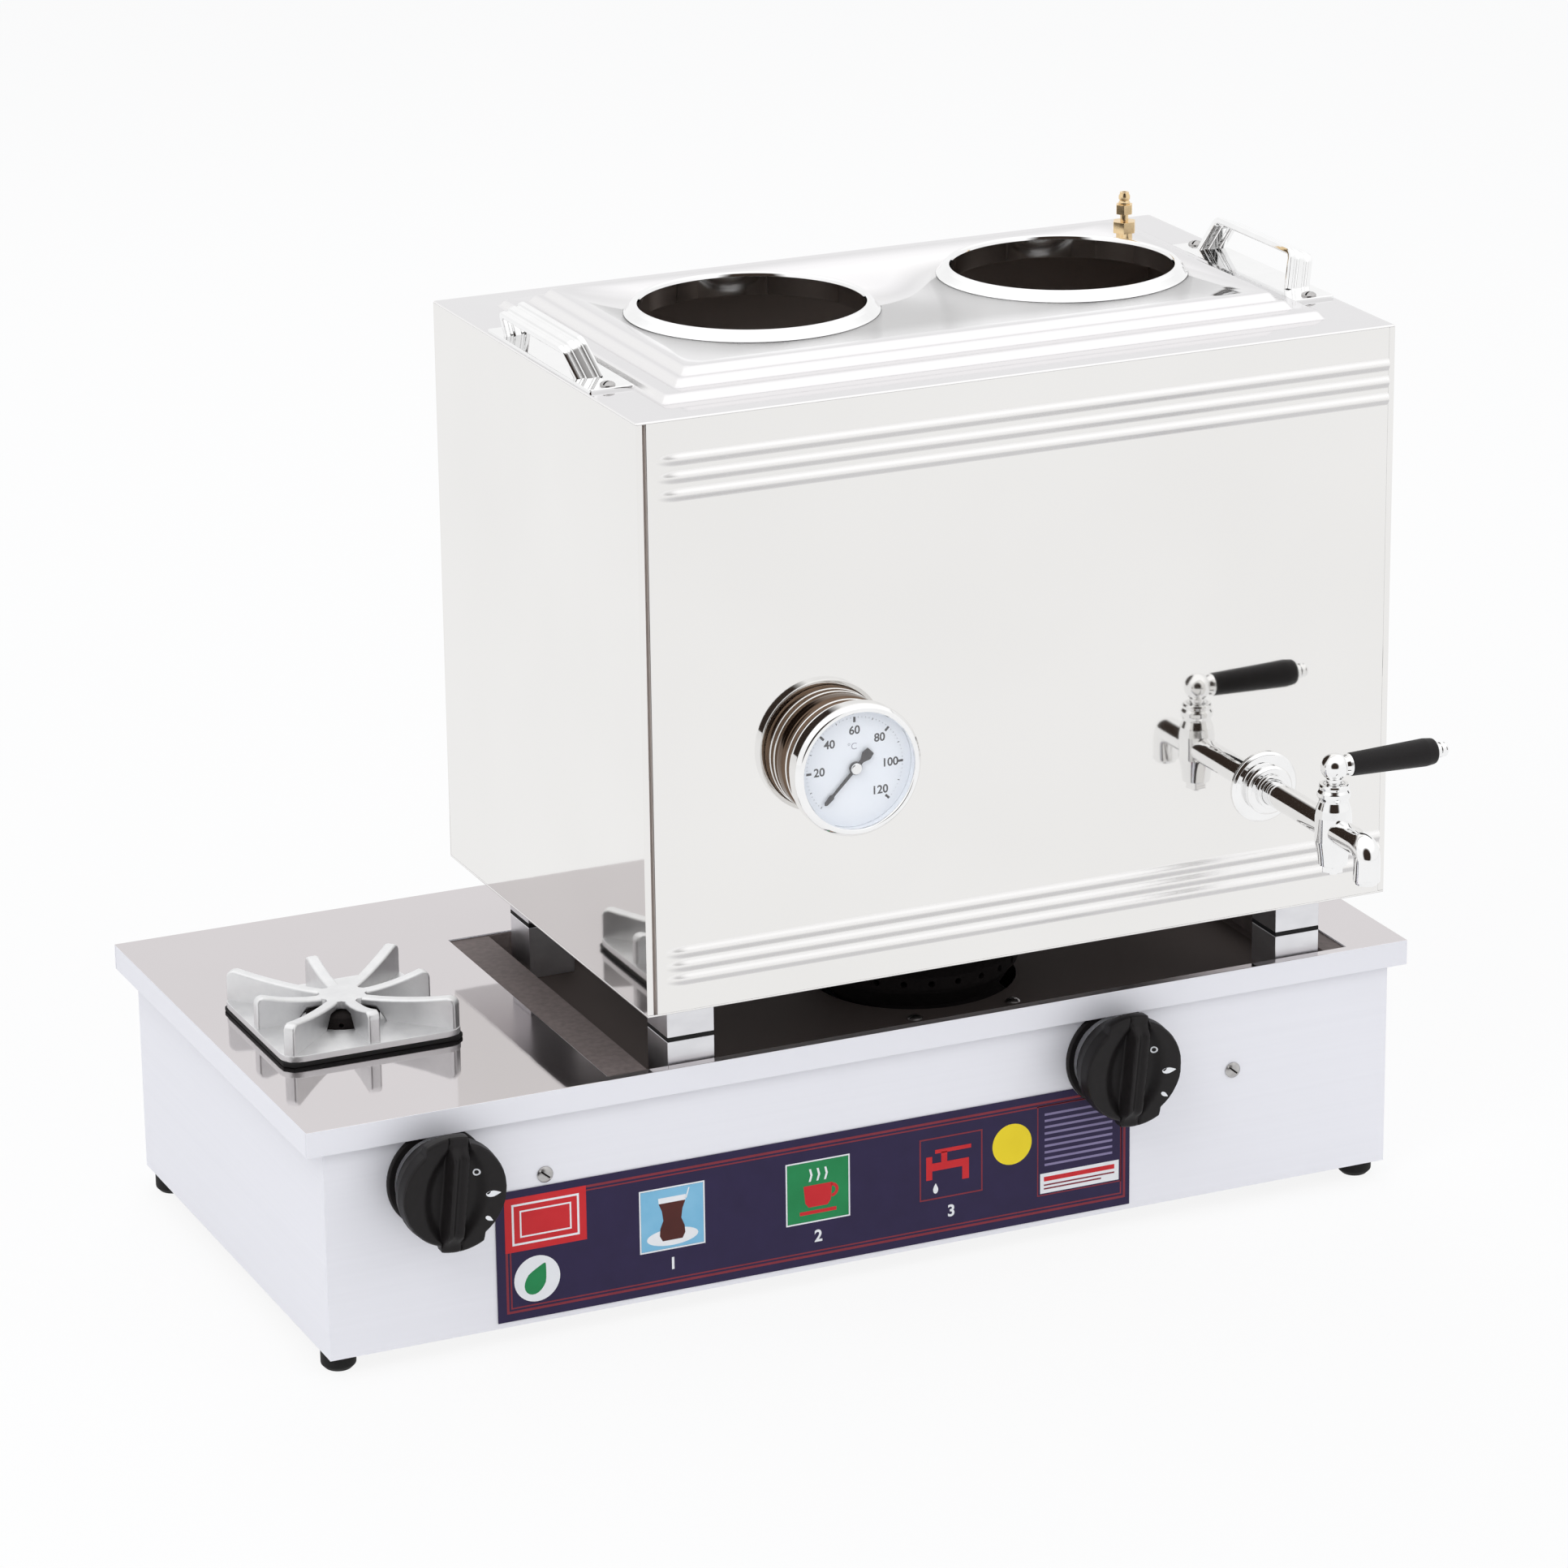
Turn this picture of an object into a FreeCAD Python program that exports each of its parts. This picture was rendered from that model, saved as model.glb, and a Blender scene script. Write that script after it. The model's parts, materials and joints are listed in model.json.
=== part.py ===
import FreeCAD, Part
import os

import Sketcher

# Gas tea urn: a square boiler with two teapot holes that stands in the well of a
# two-burner stove base. Millimetres, Z up. X runs along the front, and the front
# faces -Y. The origin lies under the middle of the lid, in the plane of the feet.

# Driving sizes
SIZES = {
    # Lid and casing of the stove
    "lid_width": 720,
    "lid_depth": 345,
    "lid_height": 158,
    "rim_height": 16,
    "rim_overhang_side": 11,
    "rim_overhang_front": 5,
    "rim_overhang_back": 9,
    "base_sheet": 1.2,
    "corner_slit": 1,
    "foot_height": 12,
    "foot_diameter": 21,
    "foot_bevel": 3.5,
    "foot_inset_side": 11,
    "foot_inset_end": 17,
    "foot_recess_diameter": 10,
    "foot_recess_depth": 4,
    "foot_screw_head": 8,
    "foot_screw_diameter": 4,
    "air_slot_length": 60,
    "air_slot_width": 6,
    "air_slot_pitch": 18,
    # Label and front screws
    "label_left": -244.4,
    "label_width": 415,
    "label_bottom": 15.6,
    "label_height": 82,
    "label_thickness": 0.8,
    "front_screw_head": 10,
    "front_screw_head_height": 2.4,
    "front_screw_diameter": 4,
    "left_screw_x": -212.5,
    "left_screw_z": 104.4,
    "right_screw_x": 241.5,
    "right_screw_z": 90.9,
    # Well in the lid
    "well_width": 491,
    "well_length": 254,
    "well_center_x": 74.5,
    "well_center_y": -39,
    "well_drop": 20,
    "ledge_left": 26,
    "ledge_right": 14,
    "flange_overlap": 8,
    # Boiler box
    "boiler_width": 486,
    "boiler_depth": 312,
    "boiler_height": 355,
    "boiler_center_x": 85,
    "boiler_center_y": -41,
    "boiler_gap": 44.5,
    "boiler_sheet": 1.2,
    "left_return": 4,
    "seam_width": 2,
    "seam_depth": 3,
    "right_return": 4,
    "step_rise": 4.5,
    "first_step_inset": 30,
    "second_step_inset": 44,
    "third_step_inset": 51,
    # Raised beads of the front
    "bead_width": 7,
    "bead_height": 2,
    "bead_start": 12,
    "top_bead_drop": 23.7,
    "top_bead_pitch": 10.4,
    "bottom_bead_rise": 20.5,
    "bottom_bead_pitch": 8.2,
    # Legs and posts
    "leg_side": 30,
    "leg_wall": 1.5,
    "leg_inset_side": 26,
    "leg_inset_end": 33,
    "post_rise": 13.5,
    "pad_thickness": 2.5,
    "pad_plug_depth": 8,
    "pad_plug_clearance": 0.2,
    # Teapot holes
    "hole_spacing": 204,
    "hole_diameter": 134,
    "collar_wall": 1.2,
    "collar_neck": 8,
    "collar_flange": 9,
    "collar_height": 6,
    "collar_clearance": 0.1,
    # Carrying handles; the lean is in degrees
    "handle_center_y": -48,
    "handle_plate_width": 28.5,
    "handle_plate_length": 156,
    "handle_plate_thickness": 2,
    "handle_edge_gap": 1.25,
    "handle_screw_spacing": 144,
    "handle_foot_span": 114,
    "handle_top_span": 98,
    "handle_height": 21,
    "strap_thickness": 4,
    "strap_width": 16,
    "strap_corner": 4,
    "strap_shift_out": 3,
    "strap_shift_back": 3,
    "strap_lean": 20,
    "handle_screw_head": 9,
    "handle_screw_diameter": 4,
    # Brass vent nipple
    "vent_x": 256,
    "vent_y": 11,
    "vent_seat_diameter": 10,
    "vent_seat_height": 5.5,
    "vent_hex": 13,
    "vent_hex_height": 7,
    "vent_waist_diameter": 5,
    "vent_waist_height": 4.5,
    "vent_head_flats": 9.5,
    "vent_head_height": 6,
    "vent_tip_diameter": 7,
    "vent_tip_height": 6,
    "vent_point": 1.5,
    "vent_bore": 2.5,
    "vent_thread_diameter": 9,
    "vent_thread_length": 9,
    "vent_nut_height": 5,
    # Thermometer
    "dial_x": -36,
    "dial_z": 344,
    "dial_case_diameter": 74,
    "dial_case_depth": 29.5,
    "dial_case_wall": 1.2,
    "dial_case_back": 1.5,
    "dial_ledge": 2.8,
    "dial_face_height": 22.5,
    "dial_face_thickness": 1,
    "dial_face_clearance": 0.2,
    "dial_glass_thickness": 1.5,
    "bezel_diameter": 80,
    "bezel_start": 20.5,
    "bezel_front": 31,
    "bezel_slope_height": 3,
    "bezel_slope_width": 2.5,
    "bezel_window_diameter": 69,
    "bezel_clearance": 0.1,
    "pocket_diameter": 12,
    "pocket_wall": 1.5,
    "pocket_length": 60,
    "pocket_nut_height": 6,
    "spindle_diameter": 2.4,
    "spindle_clearance": 0.1,
    "pointer_length": 28,
    "pointer_tail": 13.5,
    "pointer_width": 3,
    "pointer_tail_width": 6,
    "pointer_thickness": 0.8,
    "pointer_hub_diameter": 8,
    "pointer_hub_height": 2,
    "pointer_lift": 0.6,
    # Tap
    "tap_x": 244,
    "tap_z": 283,
    "tap_pipe_diameter": 16,
    "tap_pipe_bore": 10,
    "tap_reach": 85,
    "tap_tail": 18,
    "tap_barrel_diameter": 22,
    "tap_barrel_top": 28,
    "tap_barrel_bottom": 22,
    "tap_spout_reach": 125,
    "tap_spout_drop": 21.5,
    "tap_foot_diameter": 17,
    "tap_nozzle_diameter": 13,
    "tap_collar_diameter": 21,
    "tap_collar_length": 3,
    "escutcheon_diameter": 44,
    "escutcheon_thickness": 4,
    "locknut_flats": 27,
    "locknut_start": 4,
    "locknut_height": 6,
    "inner_nut_height": 6,
    "tap_plug_diameter": 13,
    "tap_plug_clearance": 0.05,
    "tap_neck_diameter": 9,
    "tap_ball_diameter": 16.5,
    "tap_ball_rise": 38,
    "tap_thread_diameter": 6,
    "tap_thread_length": 6,
    "plug_nut_height": 4,
    "plug_nut_gap": 0.3,
    "lever_diameter": 6,
    "grip_start": 10,
    "grip_length": 57,
    "grip_thin_diameter": 13.8,
    "grip_thick_diameter": 16.8,
    "lever_tip_diameter": 10,
    "lever_tip_length": 8,
    # Side burner and its grate
    "side_burner_x": -280,
    "side_burner_y": -18,
    "grate_side": 113,
    "grate_corner": 5,
    "gasket_thickness": 3,
    "grate_plate_thickness": 4,
    "grate_hole_diameter": 56,
    "grate_hub_diameter": 36,
    "grate_hub_thickness": 5,
    "grate_hub_top": 19.5,
    "fin_thickness": 8,
    "fin_end_height": 26,
    "fin_end_margin": 1.5,
    "side_hole_diameter": 60,
    "side_bowl_diameter": 52,
    "side_bowl_bore": 41,
    "side_bowl_depth": 62,
    "side_bowl_flange": 80,
    "side_head_diameter": 44,
    "side_head_height": 10,
    "side_port_count": 16,
    # Main burner
    "tray_hole_diameter": 128,
    "bowl_bottom_diameter": 60,
    "bowl_top_diameter": 124,
    "bowl_bottom_z": 98,
    "bowl_top_z": 150,
    "bowl_wall": 3,
    "burner_ear_width": 82,
    "burner_ear_length": 162,
    "burner_ear_thickness": 4,
    "tray_screw_half_x": 33,
    "tray_screw_half_y": 73,
    "tray_screw_head": 9,
    "tray_screw_diameter": 4,
    "cap_diameter": 130,
    "cap_skirt": 8,
    "cap_height": 16,
    "main_port_count": 24,
    "port_diameter": 4,
    # Gas train
    "valve_z": 115,
    "main_valve_x": 158,
    "side_valve_x": -280,
    "valve_diameter": 21,
    "valve_gap": 6,
    "valve_length": 34,
    "valve_bore": 14,
    "valve_front_wall": 2,
    "valve_back_wall": 2,
    "spring_room": 10,
    "stem_diameter": 6,
    "stem_clearance": 0.3,
    "stem_collar_diameter": 11,
    "stem_collar_thickness": 1.7,
    "stem_collar_gap": 0.3,
    "stem_key": 4.2,
    "key_clearance": 0.1,
    "key_length": 18,
    "plug_clearance": 0.1,
    "plug_length": 17.5,
    "plug_port": 3,
    "spring_wire": 0.8,
    "spring_diameter": 8.4,
    "spring_length": 8.5,
    "spring_turns": 4,
    "spring_segment_turns": 1,
    "spring_seat_depth": 4.2,
    "outlet_diameter": 10,
    "outlet_length": 9,
    "pipe_bore_share": 0.7,
    "manifold_z": 92,
    "manifold_setback": 26,
    "manifold_diameter": 16,
    "manifold_wall": 2,
    "manifold_left": -300,
    "inlet_inset": 45,
    "socket_wall": 3,
    "socket_clearance": 0.1,
    "boss_diameter": 12,
    "bracket_width": 16,
    "bracket_thickness": 2.5,
    "hose_base": 8,
    "hose_neck": 4,
    "hose_tail": 17,
    "hose_point": 2.5,
    "hose_tail_diameter": 11,
    "injector_flats": 14,
    "injector_length": 8,
    "injector_nose": 6,
    "injector_orifice": 1.2,
    "feed_corner": 14,
    "mixer_diameter": 22,
    "mixer_bore": 16,
    "mixer_mouth_diameter": 30,
    "mixer_mouth_length": 6,
    "mixer_gap": 2,
    # Knobs
    "knob_bezel_diameter": 62,
    "knob_bezel_thickness": 3,
    "knob_push": 3.5,
    "knob_clearance": 0.5,
    "knob_depth": 24.5,
    "knob_back_diameter": 52,
    "knob_back_length": 2.8,
    "knob_waist_length": 15,
    "knob_waist_diameter": 65,
    "knob_front_diameter": 64,
    "knob_edge": 1.2,
    "knob_ear_diameter": 71,
    "knob_ear_width": 20,
    "knob_ear_depth": 8.5,
    "knob_ridge_width": 12,
    "knob_ridge_height": 6,
    "knob_groove_width": 4,
    "knob_groove_depth": 1.5,
    "knob_bore_depth": 17,
}

doc = FreeCAD.newDocument("gas_tea_urn")
sheet = doc.addObject("Spreadsheet::Sheet", "sizes")
for row, (alias, number) in enumerate(SIZES.items(), start=1):
    sheet.set(f"A{row}", alias)
    sheet.set(f"B{row}", str(number))
    sheet.setAlias(f"B{row}", alias)
doc.recompute()

nodes = []


class Size:
    """A length held twice: as a number, and as a formula over the cells of the sheet."""

    def __init__(self, number, formula=None):
        self.number = float(number)
        self.formula = formula or f"({self.number!r})"

    def joined(self, other, sign, number):
        return Size(number, f"({self.formula} {sign} {other.formula})")

    def __add__(self, other):
        other = sized(other)
        return self.joined(other, "+", self.number + other.number)

    def __sub__(self, other):
        other = sized(other)
        return self.joined(other, "-", self.number - other.number)

    def __mul__(self, other):
        other = sized(other)
        return self.joined(other, "*", self.number * other.number)

    def __truediv__(self, other):
        other = sized(other)
        return self.joined(other, "/", self.number / other.number)

    def __radd__(self, other):
        return sized(other) + self

    def __rsub__(self, other):
        return sized(other) - self

    def __rmul__(self, other):
        return sized(other) * self

    def __neg__(self):
        return sized(0) - self


class Cells:
    """Gives each cell of the sheet as a Size, by its alias."""

    def __getattr__(self, alias):
        return Size(SIZES[alias], f"sizes.{alias}")


def sized(length):
    return length if isinstance(length, Size) else Size(length)


mm = Cells()

FACING = {
    "up": FreeCAD.Rotation(),
    "down": FreeCAD.Rotation(FreeCAD.Vector(1, 0, 0), 180),
    "right": FreeCAD.Rotation(FreeCAD.Vector(0, 1, 0), 90),
    "front": FreeCAD.Rotation(FreeCAD.Vector(1, 0, 0), 90),
    "back": FreeCAD.Rotation(FreeCAD.Vector(1, 0, 0), -90),
}


def bind(thing, prop, length):
    thing.setExpression(prop, sized(length).formula)


def place(thing, at, facing="up", turn=0):
    """Puts a piece at a point, its own Z facing one way, then turned about the upright."""
    spin = FreeCAD.Rotation(FreeCAD.Vector(0, 0, 1), turn)
    thing.Placement = FreeCAD.Placement(FreeCAD.Vector(), spin * FACING[facing])
    for letter, length in zip("xyz", at):
        bind(thing, f"Placement.Base.{letter}", length)
    return thing


def block(name, x, y, z):
    """A box between two lengths on each axis."""
    box = doc.addObject("Part::Box", name)
    for side, (low, high) in zip(("Length", "Width", "Height"), (x, y, z)):
        bind(box, side, sized(high) - low)
    return place(box, (x[0], y[0], z[0]))


def rod(name, diameter, at, length, facing="up"):
    cylinder = doc.addObject("Part::Cylinder", name)
    bind(cylinder, "Radius", sized(diameter) / 2)
    bind(cylinder, "Height", length)
    return place(cylinder, at, facing)


def taper(name, start_diameter, end_diameter, at, length, facing="up"):
    cone = doc.addObject("Part::Cone", name)
    bind(cone, "Radius1", sized(start_diameter) / 2)
    bind(cone, "Radius2", sized(end_diameter) / 2)
    bind(cone, "Height", length)
    return place(cone, at, facing)


def ball(name, diameter, at):
    sphere = doc.addObject("Part::Sphere", name)
    bind(sphere, "Radius", sized(diameter) / 2)
    return place(sphere, at)


def hexagon(name, across_flats, at, length, facing="up"):
    """A hexagonal prism; its corners lie 1.1547 times further out than its flats."""
    prism = doc.addObject("Part::Prism", name)
    prism.Polygon = 6
    bind(prism, "Circumradius", sized(across_flats) * 0.57735)
    bind(prism, "Height", length)
    return place(prism, at, facing)


def join(name, *pieces):
    if len(pieces) == 1:
        return pieces[0]
    union = doc.addObject("Part::MultiFuse", name)
    union.Shapes = list(pieces)
    union.Refine = True
    return union


def group(name, *pieces):
    """Separate solids side by side, in one object."""
    compound = doc.addObject("Part::Compound", name)
    compound.Links = list(pieces)
    return compound


def cut(name, base, *tools):
    difference = doc.addObject("Part::Cut", name)
    difference.Base = base
    difference.Tool = join(f"{name}_tools", *tools)
    difference.Refine = True
    return difference


def common(name, first, second):
    overlap = doc.addObject("Part::MultiCommon", name)
    overlap.Shapes = [first, second]
    overlap.Refine = True
    return overlap


def drawn(name, role, outline):
    """A body with a closed sketch of straight lines on one of its origin planes."""
    body = doc.addObject("PartDesign::Body", name)
    sketch = body.newObject("Sketcher::SketchObject", f"{name}_outline")
    plane = next(item for item in body.Origin.OriginFeatures if item.Role == role)
    sketch.AttachmentSupport = (plane, [""])
    sketch.MapMode = "FlatFace"
    points = [(sized(across), sized(along)) for across, along in outline]
    corners = [FreeCAD.Vector(across.number, along.number, 0) for across, along in points]
    count = len(points)
    for index in range(count):
        sketch.addGeometry(Part.LineSegment(corners[index], corners[(index + 1) % count]), False)
    for index in range(count):
        meet = Sketcher.Constraint("Coincident", index, 2, (index + 1) % count, 1)
        sketch.addConstraint(meet)
    for index, lengths in enumerate(points):
        for kind, length in zip(("DistanceX", "DistanceY"), lengths):
            rule = Sketcher.Constraint(kind, -1, 1, index, 1, length.number)
            bind(sketch, f"Constraints[{sketch.addConstraint(rule)}]", length)
    return body, sketch


def turned(name, outline, at, facing="up"):
    """A body of revolution about its own Z, from points of radius and height."""
    body, sketch = drawn(name, "XZ_Plane", outline)
    spin = body.newObject("PartDesign::Revolution", f"{name}_turning")
    spin.Profile = sketch
    spin.ReferenceAxis = (sketch, ["V_Axis"])
    spin.Angle = 360
    body.Tip = spin
    return place(body, at, facing)


def extruded(name, role, outline, thickness, at, facing="up", turn=0):
    """A body of even thickness, half of it on each side of its sketch."""
    body, sketch = drawn(name, role, outline)
    pad = body.newObject("PartDesign::Pad", f"{name}_pad")
    pad.Profile = sketch
    pad.Midplane = True
    bind(pad, "Length", thickness)
    body.Tip = pad
    return place(body, at, facing, turn)


def keep(label, thing):
    """Names a finished piece, which becomes one file."""
    thing.Label = label
    nodes.append(thing)
    return thing


# Planes of the stove base
lid_left = -mm.lid_width / 2
lid_right = mm.lid_width / 2
lid_front = -mm.lid_depth / 2
lid_back = mm.lid_depth / 2
lid_top = mm.lid_height
lid_under = lid_top - mm.base_sheet
rim_bottom = lid_top - mm.rim_height
case_left = lid_left + mm.rim_overhang_side
case_right = lid_right - mm.rim_overhang_side
case_front = lid_front + mm.rim_overhang_front
case_back = lid_back - mm.rim_overhang_back
case_bottom = mm.foot_height
panel_inside = case_front + mm.base_sheet

# Planes of the well
well_left = mm.well_center_x - mm.well_width / 2
well_right = mm.well_center_x + mm.well_width / 2
well_front = mm.well_center_y - mm.well_length / 2
well_back = mm.well_center_y + mm.well_length / 2
pocket_left = well_left + mm.ledge_left
pocket_right = well_right - mm.ledge_right
pocket_front = well_front + mm.base_sheet
pocket_back = well_back - mm.base_sheet
floor_top = lid_top - mm.well_drop
floor_under = floor_top - mm.base_sheet

# Planes of the boiler
box_left = mm.boiler_center_x - mm.boiler_width / 2
box_right = mm.boiler_center_x + mm.boiler_width / 2
box_front = mm.boiler_center_y - mm.boiler_depth / 2
box_back = mm.boiler_center_y + mm.boiler_depth / 2
box_bottom = lid_top + mm.boiler_gap
box_top = box_bottom + mm.boiler_height
wall_bottom = box_bottom + mm.boiler_sheet
wall_top = box_top - mm.boiler_sheet
front_inside = box_front + mm.boiler_sheet
raised_top = box_top + 3 * mm.step_rise
burner = (mm.boiler_center_x, mm.boiler_center_y)
side_burner = (mm.side_burner_x, mm.side_burner_y)

# Places of the gas train, each a distance along Y
valve_front = panel_inside + mm.valve_gap
valve_back = valve_front + mm.valve_length
room_front = valve_front + mm.valve_front_wall
plug_front = room_front + mm.spring_room
outlet_end = valve_back + mm.outlet_length
manifold_y = panel_inside + mm.manifold_setback
inlet_x = case_right - mm.inlet_inset
knob_back = case_front - mm.knob_bezel_thickness - mm.knob_push - mm.knob_clearance
FRONT_SCREWS = ((mm.left_screw_x, mm.left_screw_z), (mm.right_screw_x, mm.right_screw_z))
VALVES = {"main": mm.main_valve_x, "side": mm.side_valve_x}


def foot_places():
    x_low = case_left + mm.foot_inset_side
    x_high = case_right - mm.foot_inset_side
    y_low = case_front + mm.foot_inset_end
    y_high = case_back - mm.foot_inset_end
    return [(x, y) for x in (x_low, x_high) for y in (y_low, y_high)]


def leg_places():
    """The low corner of each boiler leg, and of the post below it."""
    x_low = box_left + mm.leg_inset_side
    x_high = box_right - mm.leg_inset_side - mm.leg_side
    y_low = box_front + mm.leg_inset_end
    y_high = box_back - mm.leg_inset_end - mm.leg_side
    return [(x, y) for x in (x_low, x_high) for y in (y_low, y_high)]


def screw(name, head, diameter, at, length, facing, head_height):
    """A pan head with a slot and its shank; at is the underside of the head."""
    x, y, z = at
    slot_width = sized(head) / 8
    outline = [
        (0, -sized(length)),
        (sized(diameter) / 2, -sized(length)),
        (sized(diameter) / 2, 0),
        (sized(head) / 2, 0),
        (sized(head) / 2, sized(head_height) / 2),
        (sized(head) / 2 - sized(head_height) / 2, head_height),
        (0, head_height),
    ]
    body = turned(f"{name}_body", outline, at, facing)
    half = sized(head) / 2
    if facing == "front":
        low = y - head_height
        slot = block(f"{name}_slot", (x - half, x + half), (low, low + slot_width),
                     (z - slot_width / 2, z + slot_width / 2))
    elif facing == "down":
        low = z - head_height
        slot = block(f"{name}_slot", (x - half, x + half),
                     (y - slot_width / 2, y + slot_width / 2), (low, low + slot_width))
    else:
        high = z + head_height
        slot = block(f"{name}_slot", (x - half, x + half),
                     (y - slot_width / 2, y + slot_width / 2), (high - slot_width, high))
    return cut(name, body, slot)


def base_casing():
    """Front, back and side panels and the bottom with its air slots."""
    walls_x = (case_left + mm.base_sheet, case_right - mm.base_sheet)
    walls_y = (case_front + mm.base_sheet, case_back - mm.base_sheet)
    height = (case_bottom, lid_under)
    front = block("front_plate", (case_left, case_right), (case_front, panel_inside), height)
    holes = [
        rod(f"{name}_stem_hole", mm.stem_diameter + 8 * mm.stem_clearance,
            (x, case_front, mm.valve_z), mm.base_sheet, "back")
        for name, x in VALVES.items()
    ]
    holes += [
        rod("front_screw_hole", mm.front_screw_diameter, (x, case_front, z), mm.base_sheet, "back")
        for x, z in FRONT_SCREWS
    ]
    keep("base_front_panel", cut("base_front_panel", front, *holes))

    back = block("back_plate", (case_left, case_right), (walls_y[1], case_back), height)
    inlet = rod("inlet_hole", mm.manifold_diameter + 2 * mm.socket_clearance,
                (inlet_x, walls_y[1], mm.manifold_z), mm.base_sheet, "back")
    keep("base_back_panel", cut("base_back_panel", back, inlet))

    left = block("left_plate", (case_left, walls_x[0]), walls_y, height)
    right = block("right_plate", (walls_x[1], case_right), walls_y, height)
    keep("base_side_panels", group("base_side_panels", left, right))

    floor = block("bottom_sheet", walls_x, walls_y, (case_bottom, case_bottom + mm.base_sheet))
    openings = [
        rod("foot_screw_hole", mm.foot_screw_diameter, (x, y, case_bottom), mm.base_sheet)
        for x, y in foot_places()
    ]
    for center_x, center_y in (burner, side_burner):
        for index in range(6):
            x = center_x + (index - 2.5) * mm.air_slot_pitch
            openings.append(block(
                "air_slot", (x - mm.air_slot_width / 2, x + mm.air_slot_width / 2),
                (center_y - mm.air_slot_length / 2, center_y + mm.air_slot_length / 2),
                (case_bottom, case_bottom + mm.base_sheet)))
    keep("base_bottom_plate", cut("base_bottom_plate", floor, *openings))


def base_lid():
    """The lid: a plate with the well and the side burner's hole, and a rim all round."""
    plate = block("lid_plate", (lid_left, lid_right), (lid_front, lid_back), (lid_under, lid_top))
    side_y = (lid_front + mm.base_sheet + mm.corner_slit,
              lid_back - mm.base_sheet - mm.corner_slit)
    rims = [
        block("front_rim", (lid_left, lid_right), (lid_front, lid_front + mm.base_sheet),
              (rim_bottom, lid_under)),
        block("back_rim", (lid_left, lid_right), (lid_back - mm.base_sheet, lid_back),
              (rim_bottom, lid_under)),
        block("left_rim", (lid_left, lid_left + mm.base_sheet), side_y, (rim_bottom, lid_under)),
        block("right_rim", (lid_right - mm.base_sheet, lid_right), side_y, (rim_bottom, lid_under)),
    ]
    well = block("well_opening", (well_left, well_right), (well_front, well_back),
                 (lid_under, lid_top))
    hole = rod("side_opening", mm.side_hole_diameter, (*side_burner, lid_under), mm.base_sheet)
    keep("base_lid", cut("base_lid", join("lid_shell", plate, *rims), well, hole))


def tray_screw_places():
    return [
        (burner[0] + x, burner[1] + y)
        for x in (-mm.tray_screw_half_x, mm.tray_screw_half_x)
        for y in (-mm.tray_screw_half_y, mm.tray_screw_half_y)
    ]


def well_tray():
    """The sunk tray: a flange under the lid, four walls and a floor with the burner's hole."""
    flange = block("tray_flange", (well_left - mm.flange_overlap, well_right + mm.flange_overlap),
                   (well_front, well_back + mm.flange_overlap),
                   (lid_under - mm.base_sheet, lid_under))
    shell = block("tray_shell", (pocket_left - mm.base_sheet, pocket_right + mm.base_sheet),
                  (well_front, well_back), (floor_under, lid_under))
    pocket = block("tray_pocket", (pocket_left, pocket_right), (pocket_front, pocket_back),
                   (floor_top, lid_under))
    hole = rod("burner_hole", mm.tray_hole_diameter, (*burner, floor_under), mm.base_sheet)
    screw_holes = [
        rod("tray_screw_hole", mm.tray_screw_diameter, (x, y, floor_under), mm.base_sheet)
        for x, y in tray_screw_places()
    ]
    solid = join("tray_solid", flange, shell)
    keep("well_tray", cut("well_tray", solid, pocket, hole, *screw_holes))


def square_tube(name, corner, low, high):
    x, y = corner
    outer = block(f"{name}_outside", (x, x + mm.leg_side), (y, y + mm.leg_side), (low, high))
    inner = block(f"{name}_inside", (x + mm.leg_wall, x + mm.leg_side - mm.leg_wall),
                  (y + mm.leg_wall, y + mm.leg_side - mm.leg_wall), (low, high))
    return cut(name, outer, inner)


def posts_and_legs():
    """Four posts on the tray's floor with plugged pads, and the boiler's legs above them."""
    post_top = lid_top + mm.post_rise
    pad_top = post_top + mm.pad_thickness
    posts = [square_tube("post", corner, floor_top, post_top) for corner in leg_places()]
    keep("well_posts", group("well_posts", *posts))
    pads = []
    inset = mm.leg_wall + mm.pad_plug_clearance
    for x, y in leg_places():
        cap = block("pad_cap", (x, x + mm.leg_side), (y, y + mm.leg_side), (post_top, pad_top))
        plug = block("pad_plug", (x + inset, x + mm.leg_side - inset),
                     (y + inset, y + mm.leg_side - inset), (post_top - mm.pad_plug_depth, post_top))
        pads.append(join("pad", cap, plug))
    keep("post_pads", group("post_pads", *pads))
    legs = [square_tube("leg", corner, pad_top, box_bottom) for corner in leg_places()]
    keep("boiler_legs", group("boiler_legs", *legs))


def feet():
    """Rubber feet, each held by a screw from below."""
    half = mm.foot_diameter / 2
    bore = mm.foot_screw_diameter / 2
    recess = mm.foot_recess_diameter / 2
    outline = [
        (recess, 0),
        (half - mm.foot_bevel, 0),
        (half, mm.foot_bevel),
        (half, mm.foot_height),
        (bore, mm.foot_height),
        (bore, mm.foot_recess_depth),
        (recess, mm.foot_recess_depth),
    ]
    rubber = [turned("foot", outline, (x, y, 0)) for x, y in foot_places()]
    keep("rubber_feet", group("rubber_feet", *rubber))
    shank = mm.foot_height - mm.foot_recess_depth + mm.base_sheet + 3
    screws = [
        screw("foot_screw", mm.foot_screw_head, mm.foot_screw_diameter,
              (x, y, mm.foot_recess_depth), shank, "down", mm.foot_recess_depth * 0.7)
        for x, y in foot_places()
    ]
    keep("foot_screws", group("foot_screws", *screws))


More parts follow.
